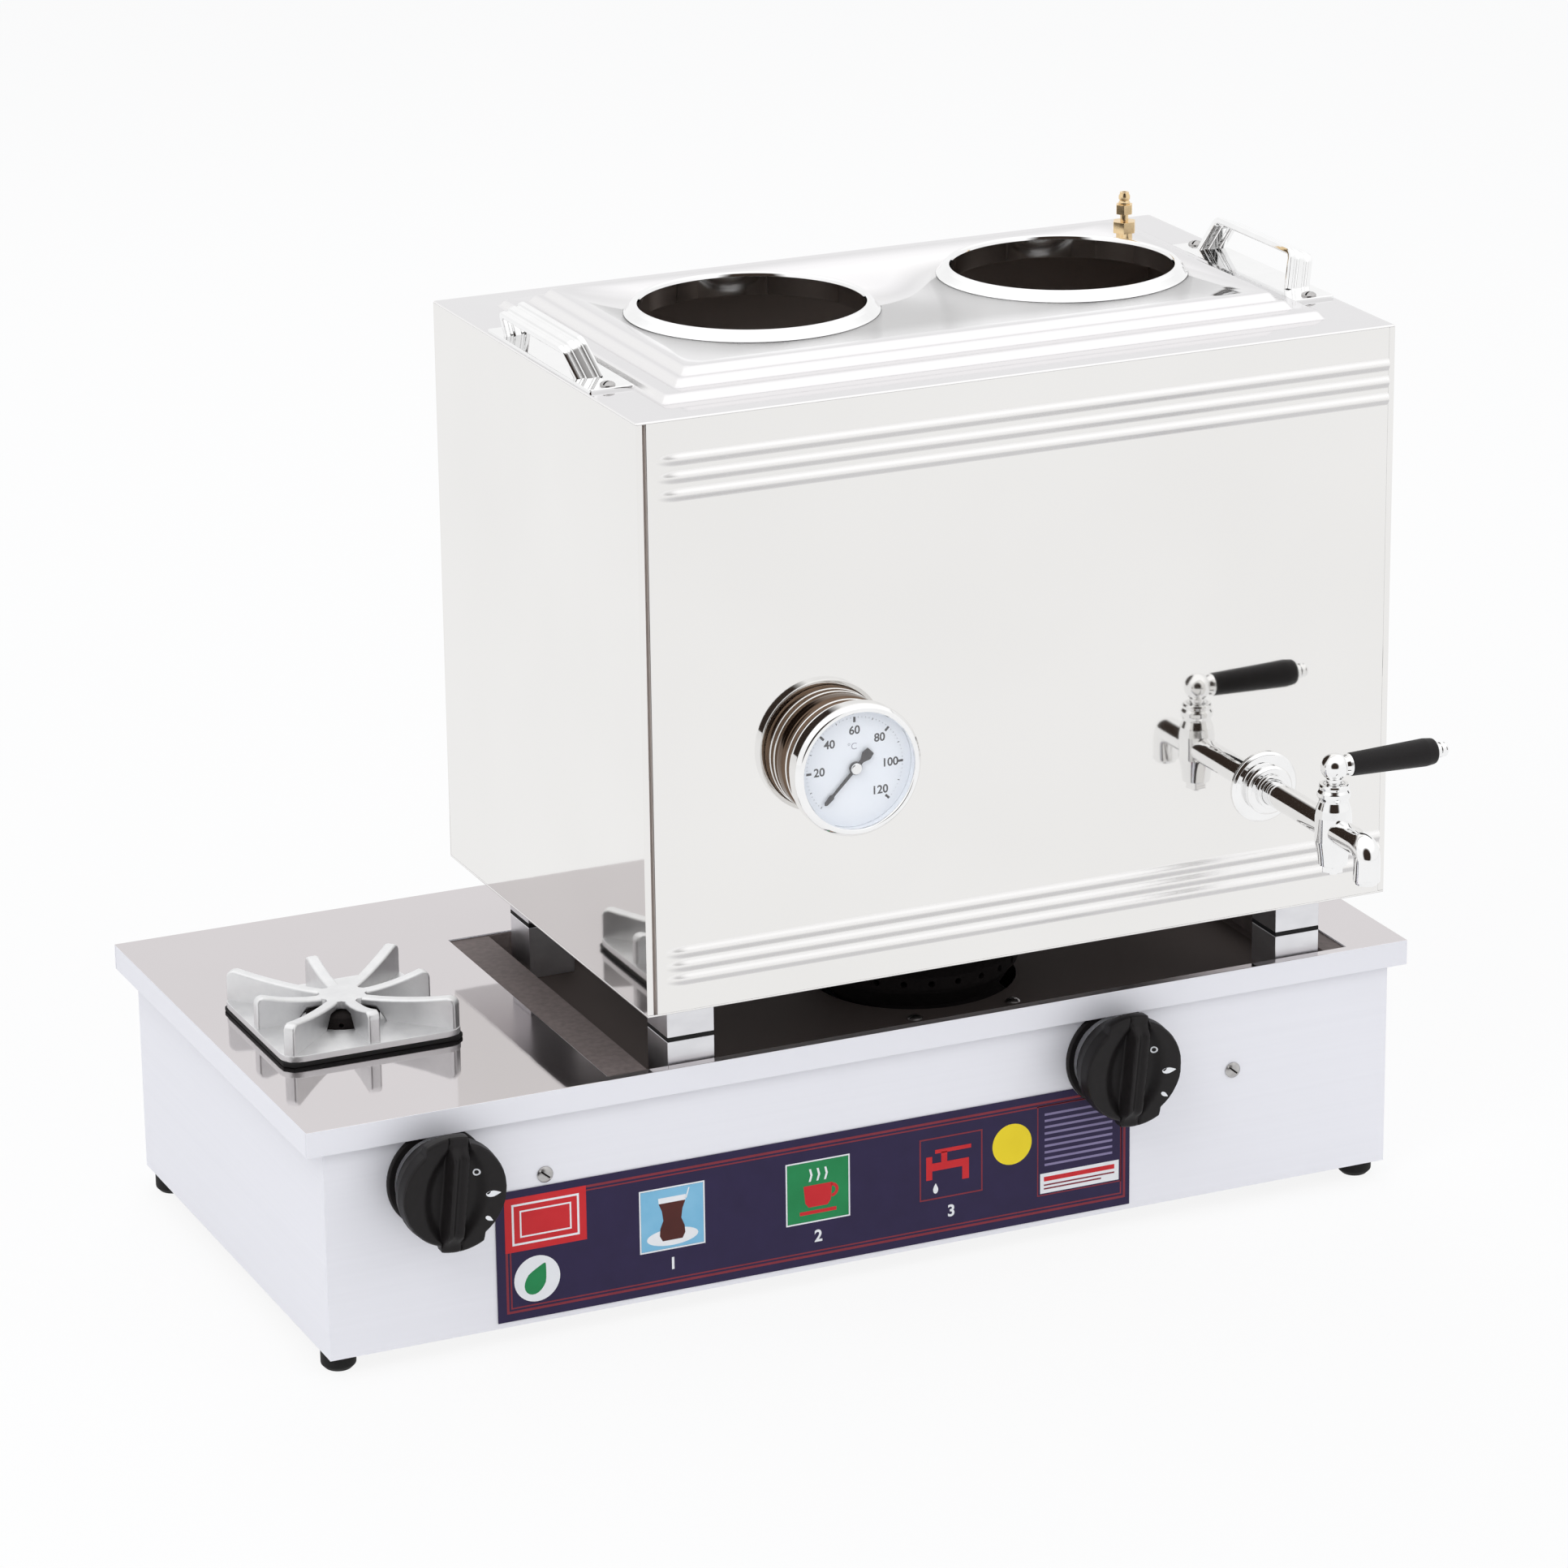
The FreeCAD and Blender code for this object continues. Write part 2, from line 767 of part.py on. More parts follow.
def front_trim():
    """Label plate, black rings behind the knobs, and two slotted screws."""
    label = block("label_sheet", (mm.label_left, mm.label_left + mm.label_width),
                  (case_front - mm.label_thickness, case_front),
                  (mm.label_bottom, mm.label_bottom + mm.label_height))
    notch = rod("label_notch", mm.knob_bezel_diameter + mm.knob_clearance,
                (mm.main_valve_x, case_front, mm.valve_z), mm.label_thickness, "front")
    keep("label_plate", cut("label_plate", label, notch))
    half = mm.knob_bezel_diameter / 2
    ring = [
        (mm.knob_back_diameter / 4, 0),
        (half, 0),
        (half, mm.knob_bezel_thickness * 0.6),
        (half - mm.knob_bezel_thickness * 0.4, mm.knob_bezel_thickness),
        (mm.knob_back_diameter / 4, mm.knob_bezel_thickness),
    ]
    rings = [
        turned("knob_ring", ring, (x, case_front, mm.valve_z), "front") for x in VALVES.values()
    ]
    keep("knob_bezels", group("knob_bezels", *rings))
    shank = mm.base_sheet + mm.bracket_thickness + 6
    screws = [
        screw("front_screw", mm.front_screw_head, mm.front_screw_diameter, (x, case_front, z),
              shank, "front", mm.front_screw_head_height)
        for x, z in FRONT_SCREWS
    ]
    keep("front_panel_screws", group("front_panel_screws", *screws))


def gas_pipes():
    """Manifold with a socket under each valve and two brackets, inlet pipe and hose tail."""
    bore = mm.manifold_diameter - 2 * mm.manifold_wall
    length = inlet_x - mm.manifold_left
    socket = mm.boss_diameter + 2 * mm.socket_wall
    socket_top = mm.valve_z - mm.valve_diameter / 2 - mm.plug_clearance
    inner = mm.boss_diameter + 2 * mm.socket_clearance
    solids = [rod("manifold_tube", mm.manifold_diameter,
                  (mm.manifold_left, manifold_y, mm.manifold_z), length, "right"),
              ball("manifold_elbow", mm.manifold_diameter,
                   (inlet_x, manifold_y, mm.manifold_z))]
    hollows = [rod("manifold_bore", bore,
                   (mm.manifold_left + mm.manifold_wall, manifold_y, mm.manifold_z),
                   length - mm.manifold_wall, "right"),
               rod("elbow_bore", bore, (inlet_x, manifold_y, mm.manifold_z),
                   mm.manifold_diameter, "back")]
    for x in VALVES.values():
        at = (x, manifold_y, mm.manifold_z)
        solids.append(rod("socket", socket, at, socket_top - mm.manifold_z))
        hollows.append(rod("socket_bore", inner, at, socket_top - mm.manifold_z))
    half = mm.bracket_width / 2
    for x, z in FRONT_SCREWS:
        solids.append(block("bracket_face", (x - half, x + half),
                            (panel_inside, panel_inside + mm.bracket_thickness),
                            (mm.manifold_z - half, z + half)))
        solids.append(block("bracket_arm", (x - half, x + half), (panel_inside, manifold_y),
                            (mm.manifold_z + mm.bracket_thickness / 2,
                             mm.manifold_z + mm.bracket_thickness * 1.5)))
        hollows.append(rod("bracket_hole", mm.front_screw_diameter, (x, panel_inside, z),
                           mm.bracket_thickness, "back"))
        hollows.append(rod("bracket_bore", bore, (x - half, manifold_y, mm.manifold_z),
                           mm.bracket_width, "right"))
    keep("manifold_pipe", cut("manifold_pipe", join("manifold_solid", *solids), *hollows))

    elbow_face = manifold_y + mm.manifold_diameter / 2
    inlet_at = (inlet_x, elbow_face, mm.manifold_z)
    inlet = rod("inlet_tube", mm.manifold_diameter, inlet_at, case_back - elbow_face, "back")
    inlet_bore = rod("inlet_bore", bore, inlet_at, case_back - elbow_face, "back")
    keep("inlet_pipe", cut("inlet_pipe", inlet, inlet_bore))

    tail = mm.hose_tail_diameter / 2
    bore = tail * mm.pipe_bore_share
    hose_end = mm.hose_base + mm.hose_neck + mm.hose_tail
    outline = [
        (bore, 0),
        (mm.manifold_diameter * 0.7, 0),
        (mm.manifold_diameter * 0.7, mm.hose_base),
        (tail * 0.85, mm.hose_base),
        (tail * 0.85, mm.hose_base + mm.hose_neck),
        (tail, mm.hose_base + mm.hose_neck),
        (tail, hose_end),
        (tail * 0.85, hose_end + mm.hose_point),
        (bore, hose_end + mm.hose_point),
    ]
    keep("hose_nipple", turned("hose_nipple", outline, (inlet_x, case_back, mm.manifold_z),
                               "back"))


def valve(name, x):
    """A plug valve: body, turning plug, sliding stem with its spring, and a knob."""
    axis = (x, mm.valve_z)
    stem_hole = mm.stem_diameter + 2 * mm.stem_clearance
    room = plug_front - room_front
    plug_room = valve_back - mm.valve_back_wall - plug_front

    def along(label, diameter, start, length):
        return rod(f"{name}_{label}", diameter, (axis[0], start, axis[1]), length, "back")

    boss_bottom = mm.manifold_z + mm.manifold_diameter / 2
    boss = rod(f"{name}_boss", mm.boss_diameter, (x, manifold_y, boss_bottom),
               mm.valve_z - boss_bottom)
    boss_bore = rod(f"{name}_boss_bore", mm.boss_diameter * mm.pipe_bore_share,
                    (x, manifold_y, boss_bottom), mm.valve_z - boss_bottom)
    outlet = along("outlet", mm.outlet_diameter, valve_back, mm.outlet_length)
    barrel = along("barrel", mm.valve_diameter, valve_front, mm.valve_length)
    hollows = [
        boss_bore,
        along("stem_hole", stem_hole, valve_front, mm.valve_front_wall),
        along("spring_room", mm.valve_bore, room_front, room + plug_room),
        along("outlet_bore", mm.outlet_diameter * mm.pipe_bore_share,
              valve_back - mm.valve_back_wall, mm.valve_back_wall + mm.outlet_length),
    ]
    shell = join(f"{name}_shell", barrel, boss, outlet)
    keep(f"{name}_valve_body", cut(f"{name}_valve_body", shell, *hollows))

    plug = along("plug_round", mm.valve_bore - 2 * mm.plug_clearance, plug_front, mm.plug_length)
    key_hole = mm.stem_key / 2 + mm.key_clearance
    key_way = block(f"{name}_key_way", (x - key_hole, x + key_hole),
                    (plug_front, plug_front + mm.plug_length - 2),
                    (mm.valve_z - key_hole, mm.valve_z + key_hole))
    seat = cut(f"{name}_seat",
               along("seat_ring", mm.spring_diameter + 2 * mm.spring_wire, plug_front,
                     mm.spring_seat_depth),
               along("seat_core", mm.spring_diameter - 2 * mm.spring_wire, plug_front,
                     mm.spring_seat_depth))
    port = rod(f"{name}_port", mm.plug_port, (x - mm.valve_bore / 2, manifold_y, mm.valve_z),
               mm.valve_bore / 2, "right")
    axial = along("axial_port", mm.plug_port, plug_front, mm.plug_length)
    keep(f"{name}_valve_plug", cut(f"{name}_valve_plug", plug, key_way, seat, port,
                                        axial))

    collar_front = room_front + mm.stem_collar_gap
    collar_back = collar_front + mm.stem_collar_thickness
    stem_front = knob_back - mm.knob_bore_depth
    stem = along("stem_round", mm.stem_diameter, stem_front, collar_back - stem_front)
    collar = along("stem_collar", mm.stem_collar_diameter, collar_front, mm.stem_collar_thickness)
    half = mm.stem_key / 2
    key = block(f"{name}_key", (x - half, x + half), (collar_back, collar_back + mm.key_length),
                (mm.valve_z - half, mm.valve_z + half))
    keep(f"{name}_valve_stem", join(f"{name}_valve_stem", stem, collar, key))
    keep(f"{name}_valve_spring", spring(name, x, collar_back))
    keep(f"{name}_knob", knob(name, x))


def spring(name, x, start):
    """A helical spring along Y, from the stem's collar into the plug's seat."""
    first = start + mm.spring_wire / 2
    height = mm.spring_length - mm.spring_wire
    helix = doc.addObject("Part::Helix", f"{name}_coil_path")
    bind(helix, "Radius", mm.spring_diameter / 2)
    bind(helix, "Height", height)
    bind(helix, "Pitch", height / mm.spring_turns)
    bind(helix, "SegmentLength", mm.spring_segment_turns)
    place(helix, (x, first, mm.valve_z), "back")
    wire = doc.addObject("Part::Circle", f"{name}_coil_wire")
    bind(wire, "Radius", mm.spring_wire / 2)
    place(wire, (x + mm.spring_diameter / 2, first, mm.valve_z))
    coil = doc.addObject("Part::Sweep", f"{name}_coil")
    coil.Sections = [wire]
    coil.Spine = helix
    coil.Solid = True
    coil.Frenet = True
    return coil


def knob(name, x):
    """A round knob that widens to the front, with two ears and a ribbed grip across it."""
    at = (x, knob_back, mm.valve_z)
    depth = mm.knob_depth
    back = mm.knob_back_diameter / 2
    waist = mm.knob_waist_diameter / 2
    face = mm.knob_front_diameter / 2
    outline = [
        (0, 0),
        (back, 0),
        (back, mm.knob_back_length),
        (waist, mm.knob_waist_length),
        (face, depth - mm.knob_edge),
        (face - mm.knob_edge, depth),
        (0, depth),
    ]
    body = turned(f"{name}_knob_body", outline, at, "front")
    front = knob_back - depth
    ridge_front = front - mm.knob_ridge_height

    def across(label, width, y_low, y_high):
        reach = mm.knob_ear_diameter / 2
        return block(f"{name}_{label}", (x - width / 2, x + width / 2), (y_low, y_high),
                     (mm.valve_z - reach, mm.valve_z + reach))

    ears = common(f"{name}_ears",
                  rod(f"{name}_ear_round", mm.knob_ear_diameter,
                      (x, front + mm.knob_ear_depth, mm.valve_z), mm.knob_ear_depth, "front"),
                  across("ear_bar", mm.knob_ear_width, front, front + mm.knob_ear_depth))
    ridge = common(f"{name}_ridge",
                   rod(f"{name}_ridge_round", mm.knob_ear_diameter - 2 * mm.knob_edge,
                       (x, front, mm.valve_z), mm.knob_ridge_height, "front"),
                   across("ridge_bar", mm.knob_ridge_width, ridge_front, front))
    groove = across("groove", mm.knob_groove_width, ridge_front,
                    ridge_front + mm.knob_groove_depth)
    bore = rod(f"{name}_knob_bore", mm.stem_diameter, at, mm.knob_bore_depth, "front")
    return cut(f"{name}_knob_piece", join(f"{name}_knob_solid", body, ears, ridge), groove, bore)


def mixer(name, x, mouth, end):
    """The tube that draws air in round the gas jet, with a flared mouth; solid and bore."""
    at = (x, mouth, mm.valve_z)
    outer = join(f"{name}_mixer",
                 rod(f"{name}_mixer_tube", mm.mixer_diameter, at, end - mouth, "back"),
                 taper(f"{name}_mouth", mm.mixer_mouth_diameter, mm.mixer_diameter, at,
                       mm.mixer_mouth_length, "back"))
    bore = join(f"{name}_mixer_hollow",
                rod(f"{name}_mixer_bore", mm.mixer_bore, at, end - mouth, "back"),
                taper(f"{name}_mouth_bore",
                      mm.mixer_mouth_diameter - (mm.mixer_diameter - mm.mixer_bore),
                      mm.mixer_bore, at, mm.mixer_mouth_length, "back"))
    return outer, bore


def injector(name, x, start):
    """A jet with a socket on the pipe behind it and a nose in the mixer's mouth."""
    at = (x, start, mm.valve_z)
    nose_at = (x, start + mm.injector_length, mm.valve_z)
    solid = join(f"{name}_jet_solid",
                 hexagon(f"{name}_jet_hex", mm.injector_flats, at, mm.injector_length, "back"),
                 taper(f"{name}_jet_nose", mm.injector_flats * 0.6, mm.injector_flats * 0.3,
                       nose_at, mm.injector_nose, "back"))
    socket = rod(f"{name}_jet_socket", mm.outlet_diameter, at, mm.injector_length * 0.6, "back")
    orifice = rod(f"{name}_orifice", mm.injector_orifice, at,
                  mm.injector_length + mm.injector_nose, "back")
    return cut(f"{name}_jet", solid, socket, orifice)


def burners():
    """Both burners with their mixers, the pipe to the main one, and the jets."""
    socket = mm.injector_length * 0.6
    feed_y = outlet_end
    main_jet = feed_y + mm.feed_corner
    side_jet = outlet_end - socket
    main_jet_start = main_jet - socket
    jet = mm.injector_length + mm.injector_nose
    main_mouth = main_jet_start + jet - mm.mixer_gap
    side_mouth = side_jet + jet - mm.mixer_gap
    keep("gas_injectors", group(
        "gas_injectors", injector("main", burner[0], main_jet_start),
        injector("side", mm.side_valve_x, side_jet)))

    pipe = mm.outlet_diameter
    bore = pipe * mm.pipe_bore_share
    fitting = pipe + 2 * mm.socket_wall
    half = fitting / 2
    turn = (burner[0], feed_y, mm.valve_z)
    run = mm.main_valve_x - burner[0]
    elbows = [
        block("feed_elbow", (x - half, x + half), (feed_y - half, feed_y + half),
              (mm.valve_z - half, mm.valve_z + half))
        for x in (burner[0], mm.main_valve_x)
    ]
    solid = join("feed_solid", *elbows, rod("feed_run", pipe, turn, run, "right"),
                 rod("feed_end", pipe, turn, mm.feed_corner, "back"))
    hollows = [
        rod("feed_socket", pipe, (mm.main_valve_x, feed_y - fitting, mm.valve_z), fitting, "back"),
        rod("feed_run_bore", bore, turn, run, "right"),
        rod("feed_end_bore", bore, turn, mm.feed_corner, "back"),
    ]
    keep("main_feed_pipe", cut("main_feed_pipe", solid, *hollows))

    bottom = mm.bowl_bottom_diameter / 2
    top = mm.bowl_top_diameter / 2
    height = mm.bowl_top_z - mm.bowl_bottom_z
    wall = mm.bowl_wall
    bowl = turned("main_bowl_outside", [(0, 0), (bottom, 0), (top, height - wall), (top, height),
                                        (0, height)], (*burner, mm.bowl_bottom_z))
    hollow = turned("main_bowl_inside", [(0, wall), (bottom - wall, wall),
                                         (top - wall, height - wall), (top - wall, height),
                                         (0, height)], (*burner, mm.bowl_bottom_z))
    ear_x = mm.burner_ear_width / 2
    ear_y = mm.burner_ear_length / 2
    ears = block("burner_ears", (burner[0] - ear_x, burner[0] + ear_x),
                 (burner[1] - ear_y, burner[1] + ear_y),
                 (floor_under - mm.burner_ear_thickness, floor_under))
    tube, tube_bore = mixer("main", burner[0], main_mouth, burner[1] - bottom)
    ear_holes = [
        rod("ear_hole", mm.tray_screw_diameter, (x, y, floor_under - mm.burner_ear_thickness),
            mm.burner_ear_thickness)
        for x, y in tray_screw_places()
    ]
    keep("main_burner_bowl", cut("main_burner_bowl", join("main_bowl_solid", bowl, ears, tube),
                                 hollow, tube_bore, *ear_holes))
    screws = [
        screw("tray_screw", mm.tray_screw_head, mm.tray_screw_diameter, (x, y, floor_top),
              mm.base_sheet + mm.burner_ear_thickness + 4, "up", mm.tray_screw_head / 4)
        for x, y in tray_screw_places()
    ]
    keep("tray_screws", group("tray_screws", *screws))
    main_cap()
    side_burner_parts(side_mouth)


def main_cap():
    """A low cap with a ring of flame ports, resting on the rim of the bowl."""
    half = mm.cap_diameter / 2
    top = mm.bowl_top_diameter / 2
    wall = mm.bowl_wall
    outline = [
        (0, mm.cap_height - wall),
        (half * 0.55, mm.cap_height - wall),
        (half - wall, mm.cap_skirt - wall / 2),
        (top - wall, 0),
        (half, 0),
        (half, mm.cap_skirt),
        (half * 0.6, mm.cap_height),
        (0, mm.cap_height),
    ]
    cap = turned("cap_shell", outline, (*burner, mm.bowl_top_z))
    ports = spokes("main_port", mm.port_diameter, (*burner, mm.bowl_top_z + mm.cap_skirt / 2),
                   half + wall, mm.main_port_count)
    keep("main_burner_cap", cut("main_burner_cap", cap, *ports))


def spokes(name, diameter, at, length, count):
    """Rods that leave one point like the spokes of a flat wheel."""
    rods = []
    for index in range(round(count.number)):
        spoke = rod(name, diameter, at, length, "right")
        rods.append(place(spoke, at, "right", index * 360 / count.number))
    return rods


def side_burner_parts(mouth):
    """The small burner under the lid, its head, the gasket and the lift-off grate."""
    seat_z = lid_top + mm.gasket_thickness
    bowl_z = seat_z - mm.side_bowl_depth
    wall = mm.bowl_wall
    outside = rod("side_bowl_outside", mm.side_bowl_diameter, (*side_burner, bowl_z),
                  mm.side_bowl_depth)
    flange = rod("side_bowl_flange", mm.side_bowl_flange, (*side_burner, lid_under - wall), wall)
    tube, tube_bore = mixer("side", mm.side_valve_x, mouth,
                            mm.side_burner_y - mm.side_bowl_diameter * 0.3)
    hollow = rod("side_bowl_inside", mm.side_bowl_bore, (*side_burner, bowl_z + wall),
                 mm.side_bowl_depth - wall)
    keep("side_burner_bowl", cut("side_burner_bowl", join("side_bowl_solid", outside, flange, tube),
                                 hollow, tube_bore))

    half = mm.side_head_diameter / 2
    inner = mm.side_bowl_bore / 2
    outline = [
        (inner, 0),
        (half, 0),
        (half, mm.side_head_height - wall / 2),
        (half - wall / 2, mm.side_head_height),
        (0, mm.side_head_height),
        (0, mm.side_head_height - wall),
        (inner, mm.side_head_height - wall),
    ]
    head = turned("side_head", outline, (*side_burner, seat_z))
    ports = spokes("side_port", mm.port_diameter * 0.7,
                   (*side_burner, seat_z + mm.side_head_height * 0.4), half + wall,
                   mm.side_port_count)
    keep("side_burner_head", cut("side_burner_head", head, *ports))

    gasket = grate_square("gasket_square", lid_top, mm.gasket_thickness)
    gasket_hole = rod("gasket_hole", mm.side_hole_diameter, (*side_burner, lid_top),
                      mm.gasket_thickness)
    keep("grate_gasket", cut("grate_gasket", gasket, gasket_hole))
    side_grate(seat_z)


def grate_square(name, low, thickness):
    """A plate as wide as the grate, with its corners cut off."""
    half = mm.grate_side / 2
    near = half - mm.grate_corner
    quarter = [(near, -half), (half, -near)]
    outline = []
    for _ in range(4):
        outline += quarter
        quarter = [(-y, x) for x, y in quarter]
    return extruded(name, "XY_Plane", outline, thickness, (*side_burner, low + thickness / 2))


def side_grate(seat_z):
    """A cast plate with eight fins that rise outward from a hub over the burner."""
    plate = grate_square("grate_plate", seat_z, mm.grate_plate_thickness)
    hole = rod("grate_hole", mm.grate_hole_diameter, (*side_burner, seat_z),
               mm.grate_plate_thickness)
    hub_under = mm.grate_hub_top - mm.grate_hub_thickness
    hub = rod("grate_hub", mm.grate_hub_diameter, (*side_burner, lid_top + hub_under),
              mm.grate_hub_thickness)
    foot = mm.gasket_thickness + mm.grate_plate_thickness / 2
    inner = mm.grate_hub_diameter / 3
    clear = mm.side_head_diameter / 2 + mm.bowl_wall / 2
    landing = mm.grate_hole_diameter / 2 + 1
    to_side = mm.grate_side / 2 - mm.fin_end_margin
    to_corner = (mm.grate_side - mm.grate_corner) / 1.41421 - mm.fin_end_margin
    fins = []
    for index in range(8):
        reach = to_corner if index % 2 else to_side
        outline = [
            (inner, hub_under),
            (clear, hub_under),
            (landing, foot),
            (reach, foot),
            (reach, mm.fin_end_height),
            (reach - mm.fin_thickness, mm.fin_end_height),
            (inner, mm.grate_hub_top),
        ]
        fins.append(extruded("grate_fin", "XZ_Plane", outline, mm.fin_thickness,
                             (*side_burner, lid_top), "up", 45 * index))
    holed = cut("grate_frame", plate, hole)
    keep("side_grate", join("side_grate", holed, hub, *fins))


def beads():
    """Six raised beads of the front, each with a round left end."""
    width = mm.bead_width
    radius = (width * width / 4 + mm.bead_height * mm.bead_height) / (2 * mm.bead_height)
    center_y = box_front - mm.bead_height + radius
    start = box_left + mm.bead_start + width / 2
    heights = [box_top - mm.top_bead_drop - index * mm.top_bead_pitch for index in range(3)]
    heights += [box_bottom + mm.bottom_bead_rise + index * mm.bottom_bead_pitch
                for index in range(3)]
    rounds = []
    for z in heights:
        rounds.append(rod("bead_round", 2 * radius, (start, center_y, z),
                          box_right - mm.right_return - start, "right"))
        rounds.append(ball("bead_end", 2 * radius, (start, center_y, z)))
    slab = block("bead_slab", (box_left, box_right - mm.right_return),
                 (box_front - mm.bead_height, box_front), (wall_bottom, wall_top))
    return common("beads", join("bead_rounds", *rounds), slab)


def boiler_walls():
    """Front with its beads and joggled edge, sides with a front return, back and bottom."""
    height = (wall_bottom, wall_top)
    seam_left = box_left + mm.left_return
    panel_left = seam_left + mm.seam_width
    panel_right = box_right - mm.right_return
    sheet_y = (box_front, front_inside)
    seam_back = front_inside + mm.seam_depth
    face = block("front_face", (panel_left, panel_right), sheet_y, height)
    web = block("joggle_web", (panel_left, panel_left + mm.boiler_sheet),
                (front_inside, seam_back), height)
    strip = block("joggle_strip", (seam_left - mm.boiler_sheet, panel_left + mm.boiler_sheet),
                  (seam_back, seam_back + mm.boiler_sheet), height)
    pocket_hole = rod("pocket_hole", mm.pocket_diameter, (mm.dial_x, box_front, mm.dial_z),
                      mm.boiler_sheet, "back")
    tap_hole = rod("tap_hole", mm.tap_pipe_diameter, (mm.tap_x, box_front, mm.tap_z),
                   mm.boiler_sheet, "back")
    keep("boiler_front_panel", cut("boiler_front_panel",
                                   join("front_solid", face, web, strip, beads()),
                                   pocket_hole, tap_hole))

    wall_back = box_back - mm.boiler_sheet
    left = block("left_wall", (box_left, box_left + mm.boiler_sheet), (box_front, wall_back),
                 height)
    left_return = block("left_return", (box_left + mm.boiler_sheet, seam_left), sheet_y, height)
    left_web = block("left_web", (seam_left - mm.boiler_sheet, seam_left),
                     (front_inside, seam_back), height)
    keep("boiler_left_side", join("boiler_left_side", left, left_return, left_web))
    right = block("right_wall", (box_right - mm.boiler_sheet, box_right), (box_front, wall_back),
                  height)
    right_return = block("right_return", (panel_right, box_right - mm.boiler_sheet), sheet_y,
                         height)
    keep("boiler_right_side", join("boiler_right_side", right, right_return))
    keep("boiler_back_panel", block("boiler_back_panel", (box_left, box_right),
                                    (wall_back, box_back), height))
    keep("boiler_bottom", block("boiler_bottom", (box_left, box_right), (box_front, box_back),
                                (box_bottom, wall_bottom)))


def hole_centers():
    half = mm.hole_spacing / 2
    return [(burner[0] - half, burner[1]), (burner[0] + half, burner[1])]


def step_boxes(name, base, shrink):
    """The three steps of the top, all taken in by one wall for their inside."""
    insets = (mm.first_step_inset, mm.second_step_inset, mm.third_step_inset)
    boxes = []
    for index, inset in enumerate(insets, start=1):
        x = (box_left + inset + shrink, box_right - inset - shrink)
        y = (box_front + inset + shrink, box_back - inset - shrink)
        boxes.append(block(name, x, y, (base, box_top + index * mm.step_rise - shrink)))
    return boxes


def boiler_top():
    """The top sheet, pressed up in three steps round the teapot holes, and its collars."""
    plate = block("top_sheet", (box_left, box_right), (box_front, box_back), (wall_top, box_top))
    solid = join("top_solid", plate, *step_boxes("step", wall_top, sized(0)))
    hollow = step_boxes("step_inside", wall_top, mm.boiler_sheet)
    neck = mm.hole_diameter + 2 * mm.collar_wall + 2 * mm.collar_clearance
    below = wall_top
    through = raised_top - wall_top
    holes = [rod("teapot_hole", neck, (*center, below), through) for center in hole_centers()]
    holes.append(rod("vent_hole", mm.vent_thread_diameter, (mm.vent_x, mm.vent_y, below), through))
    holes += [
        rod("handle_screw_hole", mm.handle_screw_diameter, (x, y, below), mm.boiler_sheet)
        for x, y in handle_screw_places()
    ]
    keep("boiler_top", cut("boiler_top", solid, *hollow, *holes))

    inner = mm.hole_diameter / 2
    flange = mm.collar_flange
    rise = mm.collar_height
    outline = [
        (inner, -mm.collar_neck),
        (inner + mm.collar_wall, -mm.collar_neck),
        (inner + mm.collar_wall, 0),
        (inner + flange, 0),
        (inner + flange, rise / 4),
        (inner + flange * 0.72, rise * 0.75),
        (inner + flange * 0.4, rise),
        (inner + flange * 0.17, rise),
        (inner, rise * 0.75),
    ]
    rings = [turned("collar", outline, (*center, raised_top)) for center in hole_centers()]
    keep("teapot_collars", group("teapot_collars", *rings))


def handle_left_edges():
    left = box_left + mm.handle_edge_gap
    right = box_right - mm.handle_edge_gap - mm.handle_plate_width
    return {"left": left, "right": right}


def handle_screw_places():
    half = mm.handle_screw_spacing / 2
    return [
        (edge + mm.handle_plate_width / 2, y)
        for edge in handle_left_edges().values()
        for y in (mm.handle_center_y - half, mm.handle_center_y + half)
    ]


